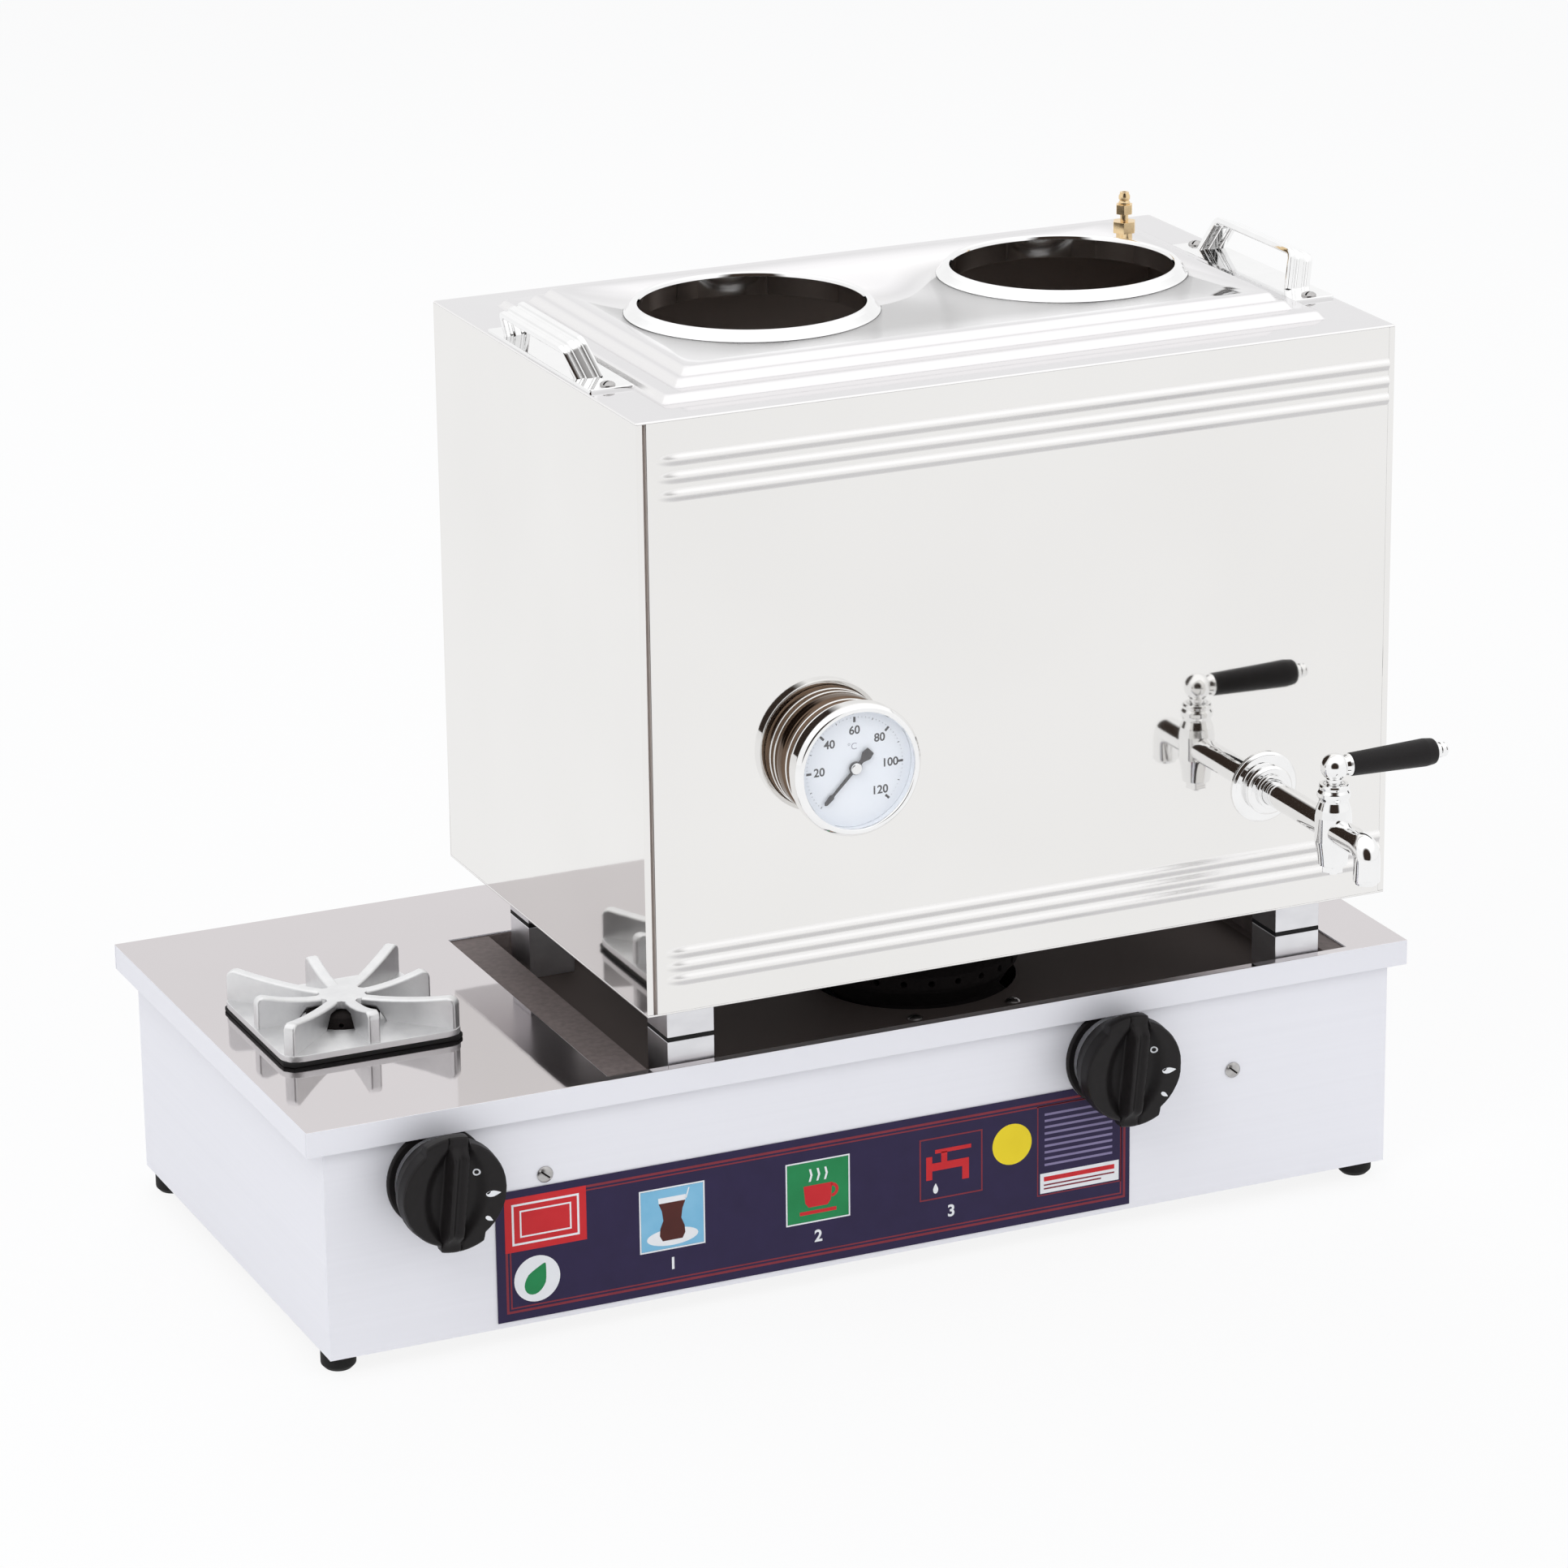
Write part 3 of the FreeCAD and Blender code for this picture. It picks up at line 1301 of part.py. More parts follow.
def handles():
    """Two bent straps on plates, and the screws that hold them to the top."""
    foot = mm.handle_foot_span / 2
    top = mm.handle_top_span / 2
    high = mm.handle_height
    thick = mm.strap_thickness
    corner = mm.strap_corner
    lean = (foot - top) / high
    root = mm.strap_width / 2
    outer = [(foot, -root), (foot - lean * (high - corner), high - corner), (top - corner, high)]
    inner = [
        (top - thick - corner / 2, high - thick),
        (foot - thick - lean * (high - thick - corner / 2), high - thick - corner / 2),
        (foot - thick, -root),
    ]
    right_half = outer[::-1] + inner[::-1]
    left_half = [(-y, z) for y, z in right_half[::-1]]
    plate_top = box_top + mm.handle_plate_thickness
    for side, edge in handle_left_edges().items():
        middle = edge + mm.handle_plate_width / 2
        half = mm.handle_plate_length / 2
        plate = block(f"{side}_plate", (edge, edge + mm.handle_plate_width),
                      (mm.handle_center_y - half, mm.handle_center_y + half), (box_top, plate_top))
        holes = [
            rod("plate_hole", mm.handle_screw_diameter,
                (middle, mm.handle_center_y + sign * mm.handle_screw_spacing / 2, box_top),
                mm.handle_plate_thickness)
            for sign in (-1, 1)
        ]
        outward = 1 if side == "right" else -1
        strap = extruded(f"{side}_strap", "YZ_Plane", right_half + left_half, mm.strap_width,
                         (middle + outward * mm.strap_shift_out,
                          mm.handle_center_y + mm.strap_shift_back, plate_top))
        bind(strap, "Placement.Rotation.Angle", mm.strap_lean)
        strap.Placement.Rotation.Axis = FreeCAD.Vector(0, outward, 0)
        below = block(f"{side}_strap_end", (edge, edge + mm.handle_plate_width),
                      (mm.handle_center_y - half, mm.handle_center_y + half),
                      (box_top - 2 * root, plate_top - mm.handle_plate_thickness / 2))
        holed = cut(f"{side}_plate_holed", plate, *holes)
        trimmed = cut(f"{side}_strap_trimmed", strap, below)
        keep(f"{side}_handle", join(f"{side}_handle", holed, trimmed))
    shank = mm.handle_plate_thickness + mm.boiler_sheet + 5
    screws = [
        screw("handle_screw", mm.handle_screw_head, mm.handle_screw_diameter,
              (x, y, plate_top), shank, "up", mm.handle_screw_head / 4)
        for x, y in handle_screw_places()
    ]
    keep("handle_screws", group("handle_screws", *screws))


def vent_nipple():
    """A brass nipple with two hexagons, screwed through the top and held by a nut."""
    def at(rise):
        return (mm.vent_x, mm.vent_y, raised_top + rise)

    waist = mm.vent_seat_height + mm.vent_hex_height
    head = waist + mm.vent_waist_height
    tip = head + mm.vent_head_height
    solid = join(
        "vent_solid",
        rod("vent_thread", mm.vent_thread_diameter, at(-mm.vent_thread_length),
            mm.vent_thread_length),
        hexagon("vent_nut", mm.vent_hex, at(-mm.boiler_sheet - mm.vent_nut_height),
                mm.vent_nut_height),
        rod("vent_seat", mm.vent_seat_diameter, at(0), mm.vent_seat_height),
        hexagon("vent_base", mm.vent_hex, at(mm.vent_seat_height), mm.vent_hex_height),
        rod("vent_waist", mm.vent_waist_diameter, at(waist), mm.vent_waist_height),
        hexagon("vent_head", mm.vent_head_flats, at(head), mm.vent_head_height),
        rod("vent_tip", mm.vent_tip_diameter, at(tip), mm.vent_tip_height),
        taper("vent_point", mm.vent_tip_diameter, mm.vent_tip_diameter * 0.8,
              at(tip + mm.vent_tip_height), mm.vent_point))
    bore = rod("vent_hollow", mm.vent_bore, at(-mm.vent_thread_length),
               mm.vent_thread_length + tip + mm.vent_tip_height + mm.vent_point)
    keep("vent_nipple", cut("vent_nipple", solid, bore))


def thermometer():
    """Case, ledge for the dial, glass under a bezel, pointer and the pocket in the tank."""
    at = (mm.dial_x, box_front, mm.dial_z)
    outside = mm.dial_case_diameter / 2
    inside = outside - mm.dial_case_wall
    seat = mm.pocket_diameter / 2
    depth = mm.dial_case_depth
    case = [
        (seat, 0),
        (outside, 0),
        (outside, depth),
        (inside, depth),
        (inside, mm.dial_face_height),
        (inside - mm.dial_ledge, mm.dial_face_height),
        (inside - mm.dial_ledge, mm.dial_case_back),
        (seat, mm.dial_case_back),
    ]
    keep("thermometer_case", turned("thermometer_case", case, at, "front"))

    bezel = mm.bezel_diameter / 2
    window = mm.bezel_window_diameter / 2
    skirt = outside + mm.bezel_clearance
    ring = [
        (skirt, mm.bezel_start),
        (bezel, mm.bezel_start),
        (bezel, mm.bezel_front - mm.bezel_slope_height),
        (bezel - mm.bezel_slope_width, mm.bezel_front),
        (window + 1.5, mm.bezel_front),
        (window, depth),
        (skirt, depth),
    ]
    keep("thermometer_bezel", turned("thermometer_bezel", ring, at, "front"))

    disc = inside - mm.dial_face_clearance
    hole = mm.spindle_diameter / 2 + mm.spindle_clearance
    face_top = mm.dial_face_height + mm.dial_face_thickness
    dial = [(hole, mm.dial_face_height), (disc, mm.dial_face_height), (disc, face_top),
            (hole, face_top)]
    keep("thermometer_dial", turned("thermometer_dial", dial, at, "front"))
    glass_bottom = depth - mm.dial_glass_thickness
    glass = [(0, glass_bottom), (disc, glass_bottom), (disc, depth), (0, depth)]
    keep("thermometer_glass", turned("thermometer_glass", glass, at, "front"))

    spindle = mm.spindle_diameter / 2
    hub = mm.pointer_hub_diameter / 2
    hub_start = face_top + mm.pointer_lift
    hub_end = hub_start + mm.pointer_hub_height
    shaft = [
        (0, 2 * mm.dial_case_back),
        (spindle, 2 * mm.dial_case_back),
        (spindle, hub_start),
        (hub, hub_start),
        (hub, hub_end),
        (0, hub_end),
    ]
    diagonal = 0.70711
    needle = [(mm.pointer_length, sized(0)), (sized(0), mm.pointer_width / 2),
              (-mm.pointer_tail, mm.pointer_tail_width / 2),
              (-mm.pointer_tail, -mm.pointer_tail_width / 2),
              (sized(0), -mm.pointer_width / 2)]
    outline = [(diagonal * (aside - along), -diagonal * (aside + along))
               for along, aside in needle]
    blade = extruded("pointer_blade", "XZ_Plane", outline, mm.pointer_thickness,
                     (mm.dial_x, box_front - hub_start - mm.pointer_hub_height / 2, mm.dial_z))
    keep("thermometer_pointer", join("thermometer_pointer",
                                     turned("pointer_shaft", shaft, at, "front"), blade))

    bore = seat - mm.pocket_wall
    end = mm.pocket_length
    tube = [(seat, mm.dial_case_back), (seat, -end), (0, -end), (0, mm.pocket_wall - end),
            (bore, mm.pocket_wall - end), (bore, mm.dial_case_back)]
    nut_at = (mm.dial_x, front_inside, mm.dial_z)
    nut = cut("pocket_nut",
              hexagon("pocket_hex", mm.pocket_diameter * 1.6, nut_at, mm.pocket_nut_height, "back"),
              rod("pocket_nut_hole", mm.pocket_diameter, nut_at, mm.pocket_nut_height, "back"))
    keep("thermometer_pocket", join("thermometer_pocket",
                                    turned("pocket_tube", tube, at, "front"), nut))


def tap():
    """A plug tap: pipe, upright barrel and spout; plate and nuts; plug, lever and grip."""
    def ahead(distance, rise=0):
        return (mm.tap_x, box_front - distance, mm.tap_z + rise)

    pipe = mm.tap_pipe_diameter
    bore = mm.tap_pipe_bore
    height = mm.tap_barrel_top + mm.tap_barrel_bottom
    solid = join(
        "tap_solid",
        rod("tap_pipe", pipe, ahead(-mm.tap_tail), mm.tap_tail + mm.tap_reach, "front"),
        rod("tap_collar", mm.tap_collar_diameter, ahead(mm.locknut_start + mm.locknut_height),
            mm.tap_collar_length, "front"),
        rod("tap_barrel", mm.tap_barrel_diameter, ahead(mm.tap_reach, -pipe / 2),
            mm.tap_barrel_top + pipe / 2),
        taper("barrel_foot", mm.tap_foot_diameter, mm.tap_barrel_diameter,
              ahead(mm.tap_reach, -mm.tap_barrel_bottom), mm.tap_barrel_bottom - pipe / 2),
        rod("spout_arm", pipe, ahead(mm.tap_reach), mm.tap_spout_reach - mm.tap_reach, "front"),
        ball("spout_elbow", pipe, ahead(mm.tap_spout_reach)),
        taper("spout_leg", pipe, mm.tap_nozzle_diameter, ahead(mm.tap_spout_reach),
              mm.tap_spout_drop, "down"))
    hollows = [
        rod("tap_bore", bore, ahead(-mm.tap_tail), mm.tap_tail + mm.tap_spout_reach, "front"),
        ball("elbow_hollow", bore, ahead(mm.tap_spout_reach)),
        rod("leg_bore", bore, ahead(mm.tap_spout_reach), mm.tap_spout_drop, "down"),
        rod("barrel_bore", mm.tap_plug_diameter, ahead(mm.tap_reach, -mm.tap_barrel_bottom),
            height),
    ]
    keep("tap_body", cut("tap_body", solid, *hollows))

    half = mm.escutcheon_diameter / 2
    hole = pipe / 2
    thick = mm.escutcheon_thickness
    plate = [(hole, 0), (half, 0), (half, thick * 0.4), (half - thick, thick), (hole, thick)]
    keep("tap_escutcheon", turned("tap_escutcheon", plate, ahead(0), "front"))
    nuts = []
    for start, length in ((mm.locknut_start, mm.locknut_height),
                          (-mm.boiler_sheet - mm.inner_nut_height, mm.inner_nut_height)):
        nuts.append(cut("tap_nut",
                        hexagon("tap_nut_hex", mm.locknut_flats, ahead(start), length, "front"),
                        rod("tap_nut_hole", pipe, ahead(start), length, "front")))
    keep("tap_locknuts", group("tap_locknuts", *nuts))
    tap_handle(ahead)


def tap_handle(ahead):
    """The plug with its cross bore, and the lever that points right when the tap is shut."""
    round_plug = mm.tap_plug_diameter - 2 * mm.tap_plug_clearance
    bottom = -mm.tap_barrel_bottom
    thread_low = bottom - mm.tap_thread_length
    plug = join(
        "plug_solid",
        rod("plug_round", round_plug, ahead(mm.tap_reach, bottom),
            mm.tap_barrel_top + mm.tap_barrel_bottom),
        rod("plug_neck", mm.tap_neck_diameter, ahead(mm.tap_reach), mm.tap_ball_rise),
        rod("plug_thread", mm.tap_thread_diameter, ahead(mm.tap_reach, thread_low),
            mm.tap_thread_length))
    x, y, z = ahead(mm.tap_reach)
    cross = rod("plug_bore", mm.tap_pipe_bore - 1, (x - round_plug / 2, y, z), round_plug, "right")
    keep("tap_plug", cut("tap_plug", plug, cross))
    nut_low = bottom - mm.plug_nut_gap - mm.plug_nut_height
    keep("tap_plug_nut", cut(
        "tap_plug_nut",
        hexagon("plug_nut_hex", mm.tap_thread_diameter * 2, ahead(mm.tap_reach, nut_low),
                mm.plug_nut_height),
        rod("plug_nut_hole", mm.tap_thread_diameter, ahead(mm.tap_reach, nut_low),
            mm.plug_nut_height)))

    level = z + mm.tap_ball_rise
    grip_at = (x + mm.grip_start, y, level)
    tip_at = (x + mm.grip_start + mm.grip_length, y, level)
    lever = join(
        "lever_solid",
        ball("lever_ball", mm.tap_ball_diameter, (x, y, level)),
        rod("lever_rod", mm.lever_diameter, (x, y, level), mm.grip_start + mm.grip_length,
            "right"),
        rod("lever_tip", mm.lever_tip_diameter, tip_at, mm.lever_tip_length, "right"))
    socket = rod("lever_socket", mm.tap_neck_diameter, (x, y, z), mm.tap_ball_rise)
    keep("tap_lever", cut("tap_lever", lever, socket))
    grip = taper("grip_cone", mm.grip_thin_diameter, mm.grip_thick_diameter, grip_at,
                 mm.grip_length, "right")
    core = rod("grip_core", mm.lever_diameter, grip_at, mm.grip_length, "right")
    keep("tap_grip", cut("tap_grip", grip, core))


base_casing()
base_lid()
well_tray()
posts_and_legs()
feet()
front_trim()
gas_pipes()
for valve_name, valve_x in VALVES.items():
    valve(valve_name, valve_x)
burners()
boiler_walls()
boiler_top()
handles()
vent_nipple()
thermometer()
tap()

doc.recompute()
for thing in doc.Objects:
    if "Invalid" in thing.State or "Error" in thing.State:
        raise RuntimeError(f"{thing.Name} failed: {thing.State}")
labels = [node.Label for node in nodes]
if len(set(labels)) != len(labels):
    raise RuntimeError("two pieces share one name")
for node in nodes:
    if node.Shape.isNull() or not node.Shape.isValid() or not node.Shape.Solids:
        raise RuntimeError(f"{node.Label} has no valid shape")
os.makedirs("parts", exist_ok=True)
for node in nodes:
    node.Shape.exportStep(f"parts/{node.Label}.step")
    print(node.Label, len(node.Shape.Solids), round(node.Shape.Volume / 1000, 2))
print(len(nodes), "pieces")
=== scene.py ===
# %% [markdown]
# # A gas tea urn
# A square steel boiler stands on four posts in the well of a two-burner stove. The
# CAD model fixes every place and size; this lesson gives its pieces their real edges,
# small parts and finishes. All lengths are metres, Z is up, and the front faces -Y.

# %% Load the frame
from contextlib import contextmanager
import json
import math

import bmesh
import bpy
from mathutils import Matrix, Vector


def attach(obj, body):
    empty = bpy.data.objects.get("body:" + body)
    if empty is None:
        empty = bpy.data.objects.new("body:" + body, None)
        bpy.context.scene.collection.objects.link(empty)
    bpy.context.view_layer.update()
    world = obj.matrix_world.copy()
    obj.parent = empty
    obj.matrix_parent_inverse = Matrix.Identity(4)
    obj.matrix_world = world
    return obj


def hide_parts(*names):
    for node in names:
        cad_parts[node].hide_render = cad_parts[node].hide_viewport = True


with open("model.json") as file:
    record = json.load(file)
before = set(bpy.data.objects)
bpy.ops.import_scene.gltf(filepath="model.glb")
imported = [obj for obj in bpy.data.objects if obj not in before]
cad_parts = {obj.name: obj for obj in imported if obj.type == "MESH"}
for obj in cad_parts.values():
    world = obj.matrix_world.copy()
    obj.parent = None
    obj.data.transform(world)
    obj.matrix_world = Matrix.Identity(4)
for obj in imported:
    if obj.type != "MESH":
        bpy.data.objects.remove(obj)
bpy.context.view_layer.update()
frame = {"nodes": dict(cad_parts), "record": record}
MM = 0.001
BODY_OF = {node: body for body, nodes in frame["record"]["behaviour"]["bodies"].items()
           for node in nodes}

# %% [markdown]
# ## Camera
# The photograph was taken from the left and above, with a long lens. The place and
# the turn of the camera were found by fitting the corners of the lid and the boiler.

# %% Camera
CAMERA_PLACE = Vector((-1.41535, -3.20322, 1.45564))
CAMERA_TURN = (math.radians(-24.109), math.radians(18.838), math.radians(-0.72))
SENSOR_WIDTH, FOCAL_PIXELS, PHOTO_PIXELS = 36, 7454.31, 1932
across, above, roll = CAMERA_TURN
back = Vector((math.sin(across) * math.cos(above), -math.cos(across) * math.cos(above),
               math.sin(above)))
level_right = Vector((math.cos(across), math.sin(across), 0))
level_up = back.cross(level_right)
right = math.cos(roll) * level_right + math.sin(roll) * level_up
upward = math.cos(roll) * level_up - math.sin(roll) * level_right
camera_data = bpy.data.cameras.new("photo_camera")
camera_data.sensor_width = SENSOR_WIDTH
camera_data.lens = SENSOR_WIDTH * FOCAL_PIXELS / PHOTO_PIXELS
camera = bpy.data.objects.new("photo_camera", camera_data)
turn = Matrix((right, upward, back)).transposed()
camera.matrix_world = Matrix.Translation(CAMERA_PLACE) @ turn.to_4x4()
bpy.context.scene.collection.objects.link(camera)
bpy.context.scene.camera = camera
print(f"lens {camera_data.lens:.1f} mm on a {SENSOR_WIDTH} mm sensor")

# %% [markdown]
# ## Finishes
# Almost everything here is metal, so its look comes from what it mirrors and from
# small changes of gloss. One recipe serves all finishes: two tones mixed by a noise,
# a second noise for the roughness, and a bump. Only its numbers change.

# %% Nodes, and a recipe for finishes
def feed(tree, node, inputs):
    """Fills a node's inputs, each with a value or with the output that feeds it."""
    for name, value in inputs.items():
        if isinstance(value, bpy.types.NodeSocket):
            tree.links.new(value, node.inputs[name])
        else:
            node.inputs[name].default_value = value


def add(tree, kind, inputs, **settings):
    """Adds a node of a kind, set up and fed."""
    node = tree.nodes.new(kind)
    for name, value in settings.items():
        setattr(node, name, value)
    feed(tree, node, inputs)
    return node


def calc(tree, operation, *values, kind="Math", result=0):
    """What a calculation on numbers or sockets gives."""
    node = add(tree, f"ShaderNode{kind}", dict(enumerate(values)), operation=operation)
    return node.outputs[result]


def finish(name, dark, light, metal=0.0, rough=(0.4, 0.5), grain=40, tone_grain=None,
           bump=0.0, bump_grain=None, bump_height=0.0002, **fixed):
    """A material with two tones, a range of roughness and a bump, all from noise.

    A grain is a number of noise cells to a metre, or three of them for X, Y and Z.
    """
    material = bpy.data.materials.new(name)
    material.use_nodes = True
    tree = material.node_tree
    place = add(tree, "ShaderNodeTexCoord", {}).outputs["Object"]

    def noise(cells):
        scales = cells if isinstance(cells, tuple) else (cells, cells, cells)
        stretch = add(tree, "ShaderNodeMapping", {"Vector": place, "Scale": scales})
        pattern = add(tree, "ShaderNodeTexNoise", {
            "Vector": stretch.outputs["Vector"], "Scale": 1.0, "Detail": 3.0})
        return pattern.outputs["Fac"]

    tones = add(tree, "ShaderNodeMix", {
        0: noise(tone_grain or grain), 6: (*dark, 1), 7: (*light, 1)}, data_type="RGBA")
    gloss = add(tree, "ShaderNodeMapRange", {
        "Value": noise(grain), "To Min": rough[0], "To Max": rough[1]})
    looks = {"Base Color": tones.outputs[2], "Roughness": gloss.outputs["Result"],
             "Metallic": metal}
    if bump:
        relief = add(tree, "ShaderNodeBump", {
            "Strength": bump, "Distance": bump_height, "Height": noise(bump_grain or grain)})
        looks["Normal"] = relief.outputs["Normal"]
    looks.update({socket.replace("_", " "): value for socket, value in fixed.items()})
    feed(tree, tree.nodes["Principled BSDF"], looks)
    return material


# %% [markdown]
# ### Steel, chrome and brass
# Sheet steel is never quite flat, so its mirror image wavers; a very low bump with
# grains a hand wide does that.

# %% Metals
polished = finish("polished_steel", (0.815, 0.805, 0.79), (0.875, 0.865, 0.85), metal=1.0,
                  rough=(0.02, 0.06), grain=6, bump=0.08, bump_grain=7, bump_height=0.0018)
lid_steel = finish("lid_steel", (0.60, 0.565, 0.575), (0.68, 0.645, 0.655), metal=1.0,
                   rough=(0.03, 0.07), grain=6, tone_grain=3, bump=0.08, bump_grain=7,
                   bump_height=0.003)
satin = finish("satin_steel", (0.88, 0.88, 0.92), (0.91, 0.91, 0.95), metal=0.35,
               rough=(0.52, 0.62), grain=(3, 3, 900), tone_grain=(2, 2, 500), bump=0.03,
               bump_grain=(6, 6, 1800), bump_height=0.00004)
leg_steel = finish("leg_steel", (0.66, 0.66, 0.69), (0.88, 0.88, 0.90), metal=1.0,
                   rough=(0.28, 0.42), grain=60, tone_grain=(45, 45, 90), bump=0.15,
                   bump_grain=(200, 200, 30), bump_height=0.0001)
chrome = finish("chrome", (0.86, 0.86, 0.86), (0.94, 0.94, 0.94), metal=1.0,
                rough=(0.03, 0.07), grain=60, bump=0.05, bump_grain=90, bump_height=0.0003)
case_steel = finish("thermometer_case_steel", (0.10, 0.065, 0.045), (0.22, 0.155, 0.11),
                    metal=1.0, rough=(0.12, 0.22), grain=70, bump=0.06, bump_grain=300)
seam_steel = finish("seam_steel", (0.66, 0.59, 0.55), (0.76, 0.70, 0.66), metal=0.2,
                    rough=(0.5, 0.6), grain=70)
brass = finish("brass", (0.76, 0.54, 0.28), (0.92, 0.73, 0.46), metal=1.0,
               rough=(0.16, 0.34), grain=160, bump=0.1, bump_grain=600)
zinc = finish("zinc_steel", (0.36, 0.35, 0.35), (0.60, 0.59, 0.58), metal=1.0,
              rough=(0.22, 0.38), grain=300, bump=0.1)
galvanised = finish("galvanised_steel", (0.12, 0.098, 0.092), (0.27, 0.225, 0.215), metal=0.2,
                    rough=(0.5, 0.7), grain=260, bump=0.25, bump_grain=700,
                    Specular_IOR_Level=0.2)
aluminium = finish("cast_aluminium", (0.70, 0.70, 0.71), (0.88, 0.88, 0.88), metal=0.85,
                   rough=(0.30, 0.46), grain=90, bump=0.35, bump_grain=650,
                   bump_height=0.0003)
iron = finish("cast_iron", (0.010, 0.008, 0.008), (0.024, 0.020, 0.019), rough=(0.75, 0.9),
              grain=200, bump=0.5, bump_grain=900, bump_height=0.0003,
              Specular_IOR_Level=0.15)

# %% [markdown]
# ### Where one sheet has more than one finish or painted light and shade
# Inside the tank the sheet is unpolished, and its colour is darkened as painted shade so
# that the teapot holes look black; the well under the boiler is darkened as painted
# shade too. A box test on the position picks them out.
# The pressed beads and steps are less sharp as mirrors, with a painted highlight on
# their upper slopes and painted shade below them, and the up-facing top is a little
# rougher and carries painted shade that makes it darker than the walls. The rim of the
# lid is ground instead of polished, so the knobs do not mirror in it. A test of the
# face's own direction finds the slopes and the rim.

# %% Masks and what they change
def inside_mask(tree, low, high):
    """A socket that is 1 inside a box and 0 outside it."""
    centre = (Vector(low) + Vector(high)) / 2
    half = (Vector(high) - Vector(low)) / 2
    place = add(tree, "ShaderNodeTexCoord", {}).outputs["Object"]
    away = calc(tree, "SUBTRACT", place, centre, kind="VectorMath")
    size = calc(tree, "ABSOLUTE", away, kind="VectorMath")
    share = calc(tree, "DIVIDE", size, half, kind="VectorMath")
    parts = add(tree, "ShaderNodeSeparateXYZ", {"Vector": share}).outputs
    worst = calc(tree, "MAXIMUM", calc(tree, "MAXIMUM", parts["X"], parts["Y"]), parts["Z"])
    return calc(tree, "LESS_THAN", worst, 1.0)


def upward_part(tree, normal):
    """How far the faces look up: 1 for a floor, 0 for a wall and -1 for a ceiling."""
    faces = add(tree, "ShaderNodeNewGeometry", {})
    return add(tree, "ShaderNodeSeparateXYZ", {"Vector": faces.outputs[normal]}).outputs["Z"]


def leaning(tree, start, end):
    """A mask that grows from 0 to 1 as a face's upward part goes from start to end."""
    share = add(tree, "ShaderNodeMapRange", {
        "Value": upward_part(tree, "Normal"), "From Min": start, "From Max": end})
    return share.outputs["Result"]


def masked(material, mask, colour, roughness, metal=0.3):
    """Gives a finish another colour, gloss and metal where a mask is 1."""
    tree = material.node_tree
    shader = tree.nodes["Principled BSDF"]
    for name, value, kind, first, result in (
            ("Base Color", (*colour, 1), "RGBA", 6, 2), ("Roughness", roughness, "FLOAT", 2, 0),
            ("Metallic", metal, "FLOAT", 2, 0)):
        socket = shader.inputs[name]
        plain = socket.links[0].from_socket if socket.is_linked else socket.default_value
        blend = add(tree, "ShaderNodeMix", {0: mask, first: plain, first + 1: value},
                    data_type=kind)
        tree.links.new(blend.outputs[result], socket)


# Painted light on the polished steel: painted shade under the beads, a painted highlight on their
# upper slopes, and painted shade on up-facing tops.
PAINTED_SLOPE_LIGHT = {
    "under": (-0.03, -0.35, (0.66, 0.65, 0.65), 0.30),
    "upper": (0.03, 0.25, (0.93, 0.92, 0.915), 0.25),
    "flat": (0.45, 1.0, (0.74, 0.73, 0.74), 0.06),
}
for start, end, colour, roughness in PAINTED_SLOPE_LIGHT.values():
    masked(polished, leaning(polished.node_tree, start, end), colour, roughness, 1.0)
# The tank's inside is rougher, and its darker colour is painted shade.
TANK = ((-0.1574, -0.1914, 0.2031), (0.3274, 0.1144, 0.5569))
masked(polished, inside_mask(polished.node_tree, *TANK), (0.48, 0.41, 0.37), 0.6)
# The well floor under the boiler is darkened as painted shade.
WELL = ((-0.142, -0.1655, 0.0), (0.300, 0.0865, 0.1385))
masked(galvanised, inside_mask(galvanised.node_tree, *WELL), (0.125, 0.102, 0.094), 0.75)
upright = calc(lid_steel.node_tree, "COMPARE",
               upward_part(lid_steel.node_tree, "True Normal"), 0.0, 0.5)
masked(lid_steel, upright, (0.89, 0.89, 0.93), 0.57, 0.35)
print("polished steel has", len(polished.node_tree.nodes), "nodes")

# %% [markdown]
# ### Mouldings, rubber, dial and print
# The knobs are a black heat-proof moulding with a fine grain; the feet are rubber.
# The label is a printed plate, so each ink is a smooth paint with a little wear.

# %% Plastics, rubber, glass and inks
moulding = finish("black_moulding", (0.008, 0.007, 0.007), (0.015, 0.013, 0.0135),
                  rough=(0.42, 0.54), grain=240, bump=0.12, bump_grain=1500,
                  bump_height=0.0001, Specular_IOR_Level=0.22)
rubber = finish("black_rubber", (0.008, 0.008, 0.008), (0.018, 0.017, 0.017), rough=(0.6, 0.8),
                grain=300, bump=0.2, bump_grain=900, Specular_IOR_Level=0.25)
dial_white = finish("dial_white", (0.90, 0.94, 0.99), (0.95, 0.97, 1.0), rough=(0.35, 0.45),
                    grain=30)
dial_black = finish("dial_black", (0.030, 0.026, 0.027), (0.05, 0.045, 0.046), rough=(0.4, 0.5))
dial_grey = finish("dial_grey", (0.36, 0.36, 0.42), (0.44, 0.44, 0.50), rough=(0.4, 0.5))
glass = finish("dial_glass", (0.97, 0.98, 0.99), (1, 1, 1), rough=(0.0, 0.02), IOR=1.45,
               Alpha=0.05)
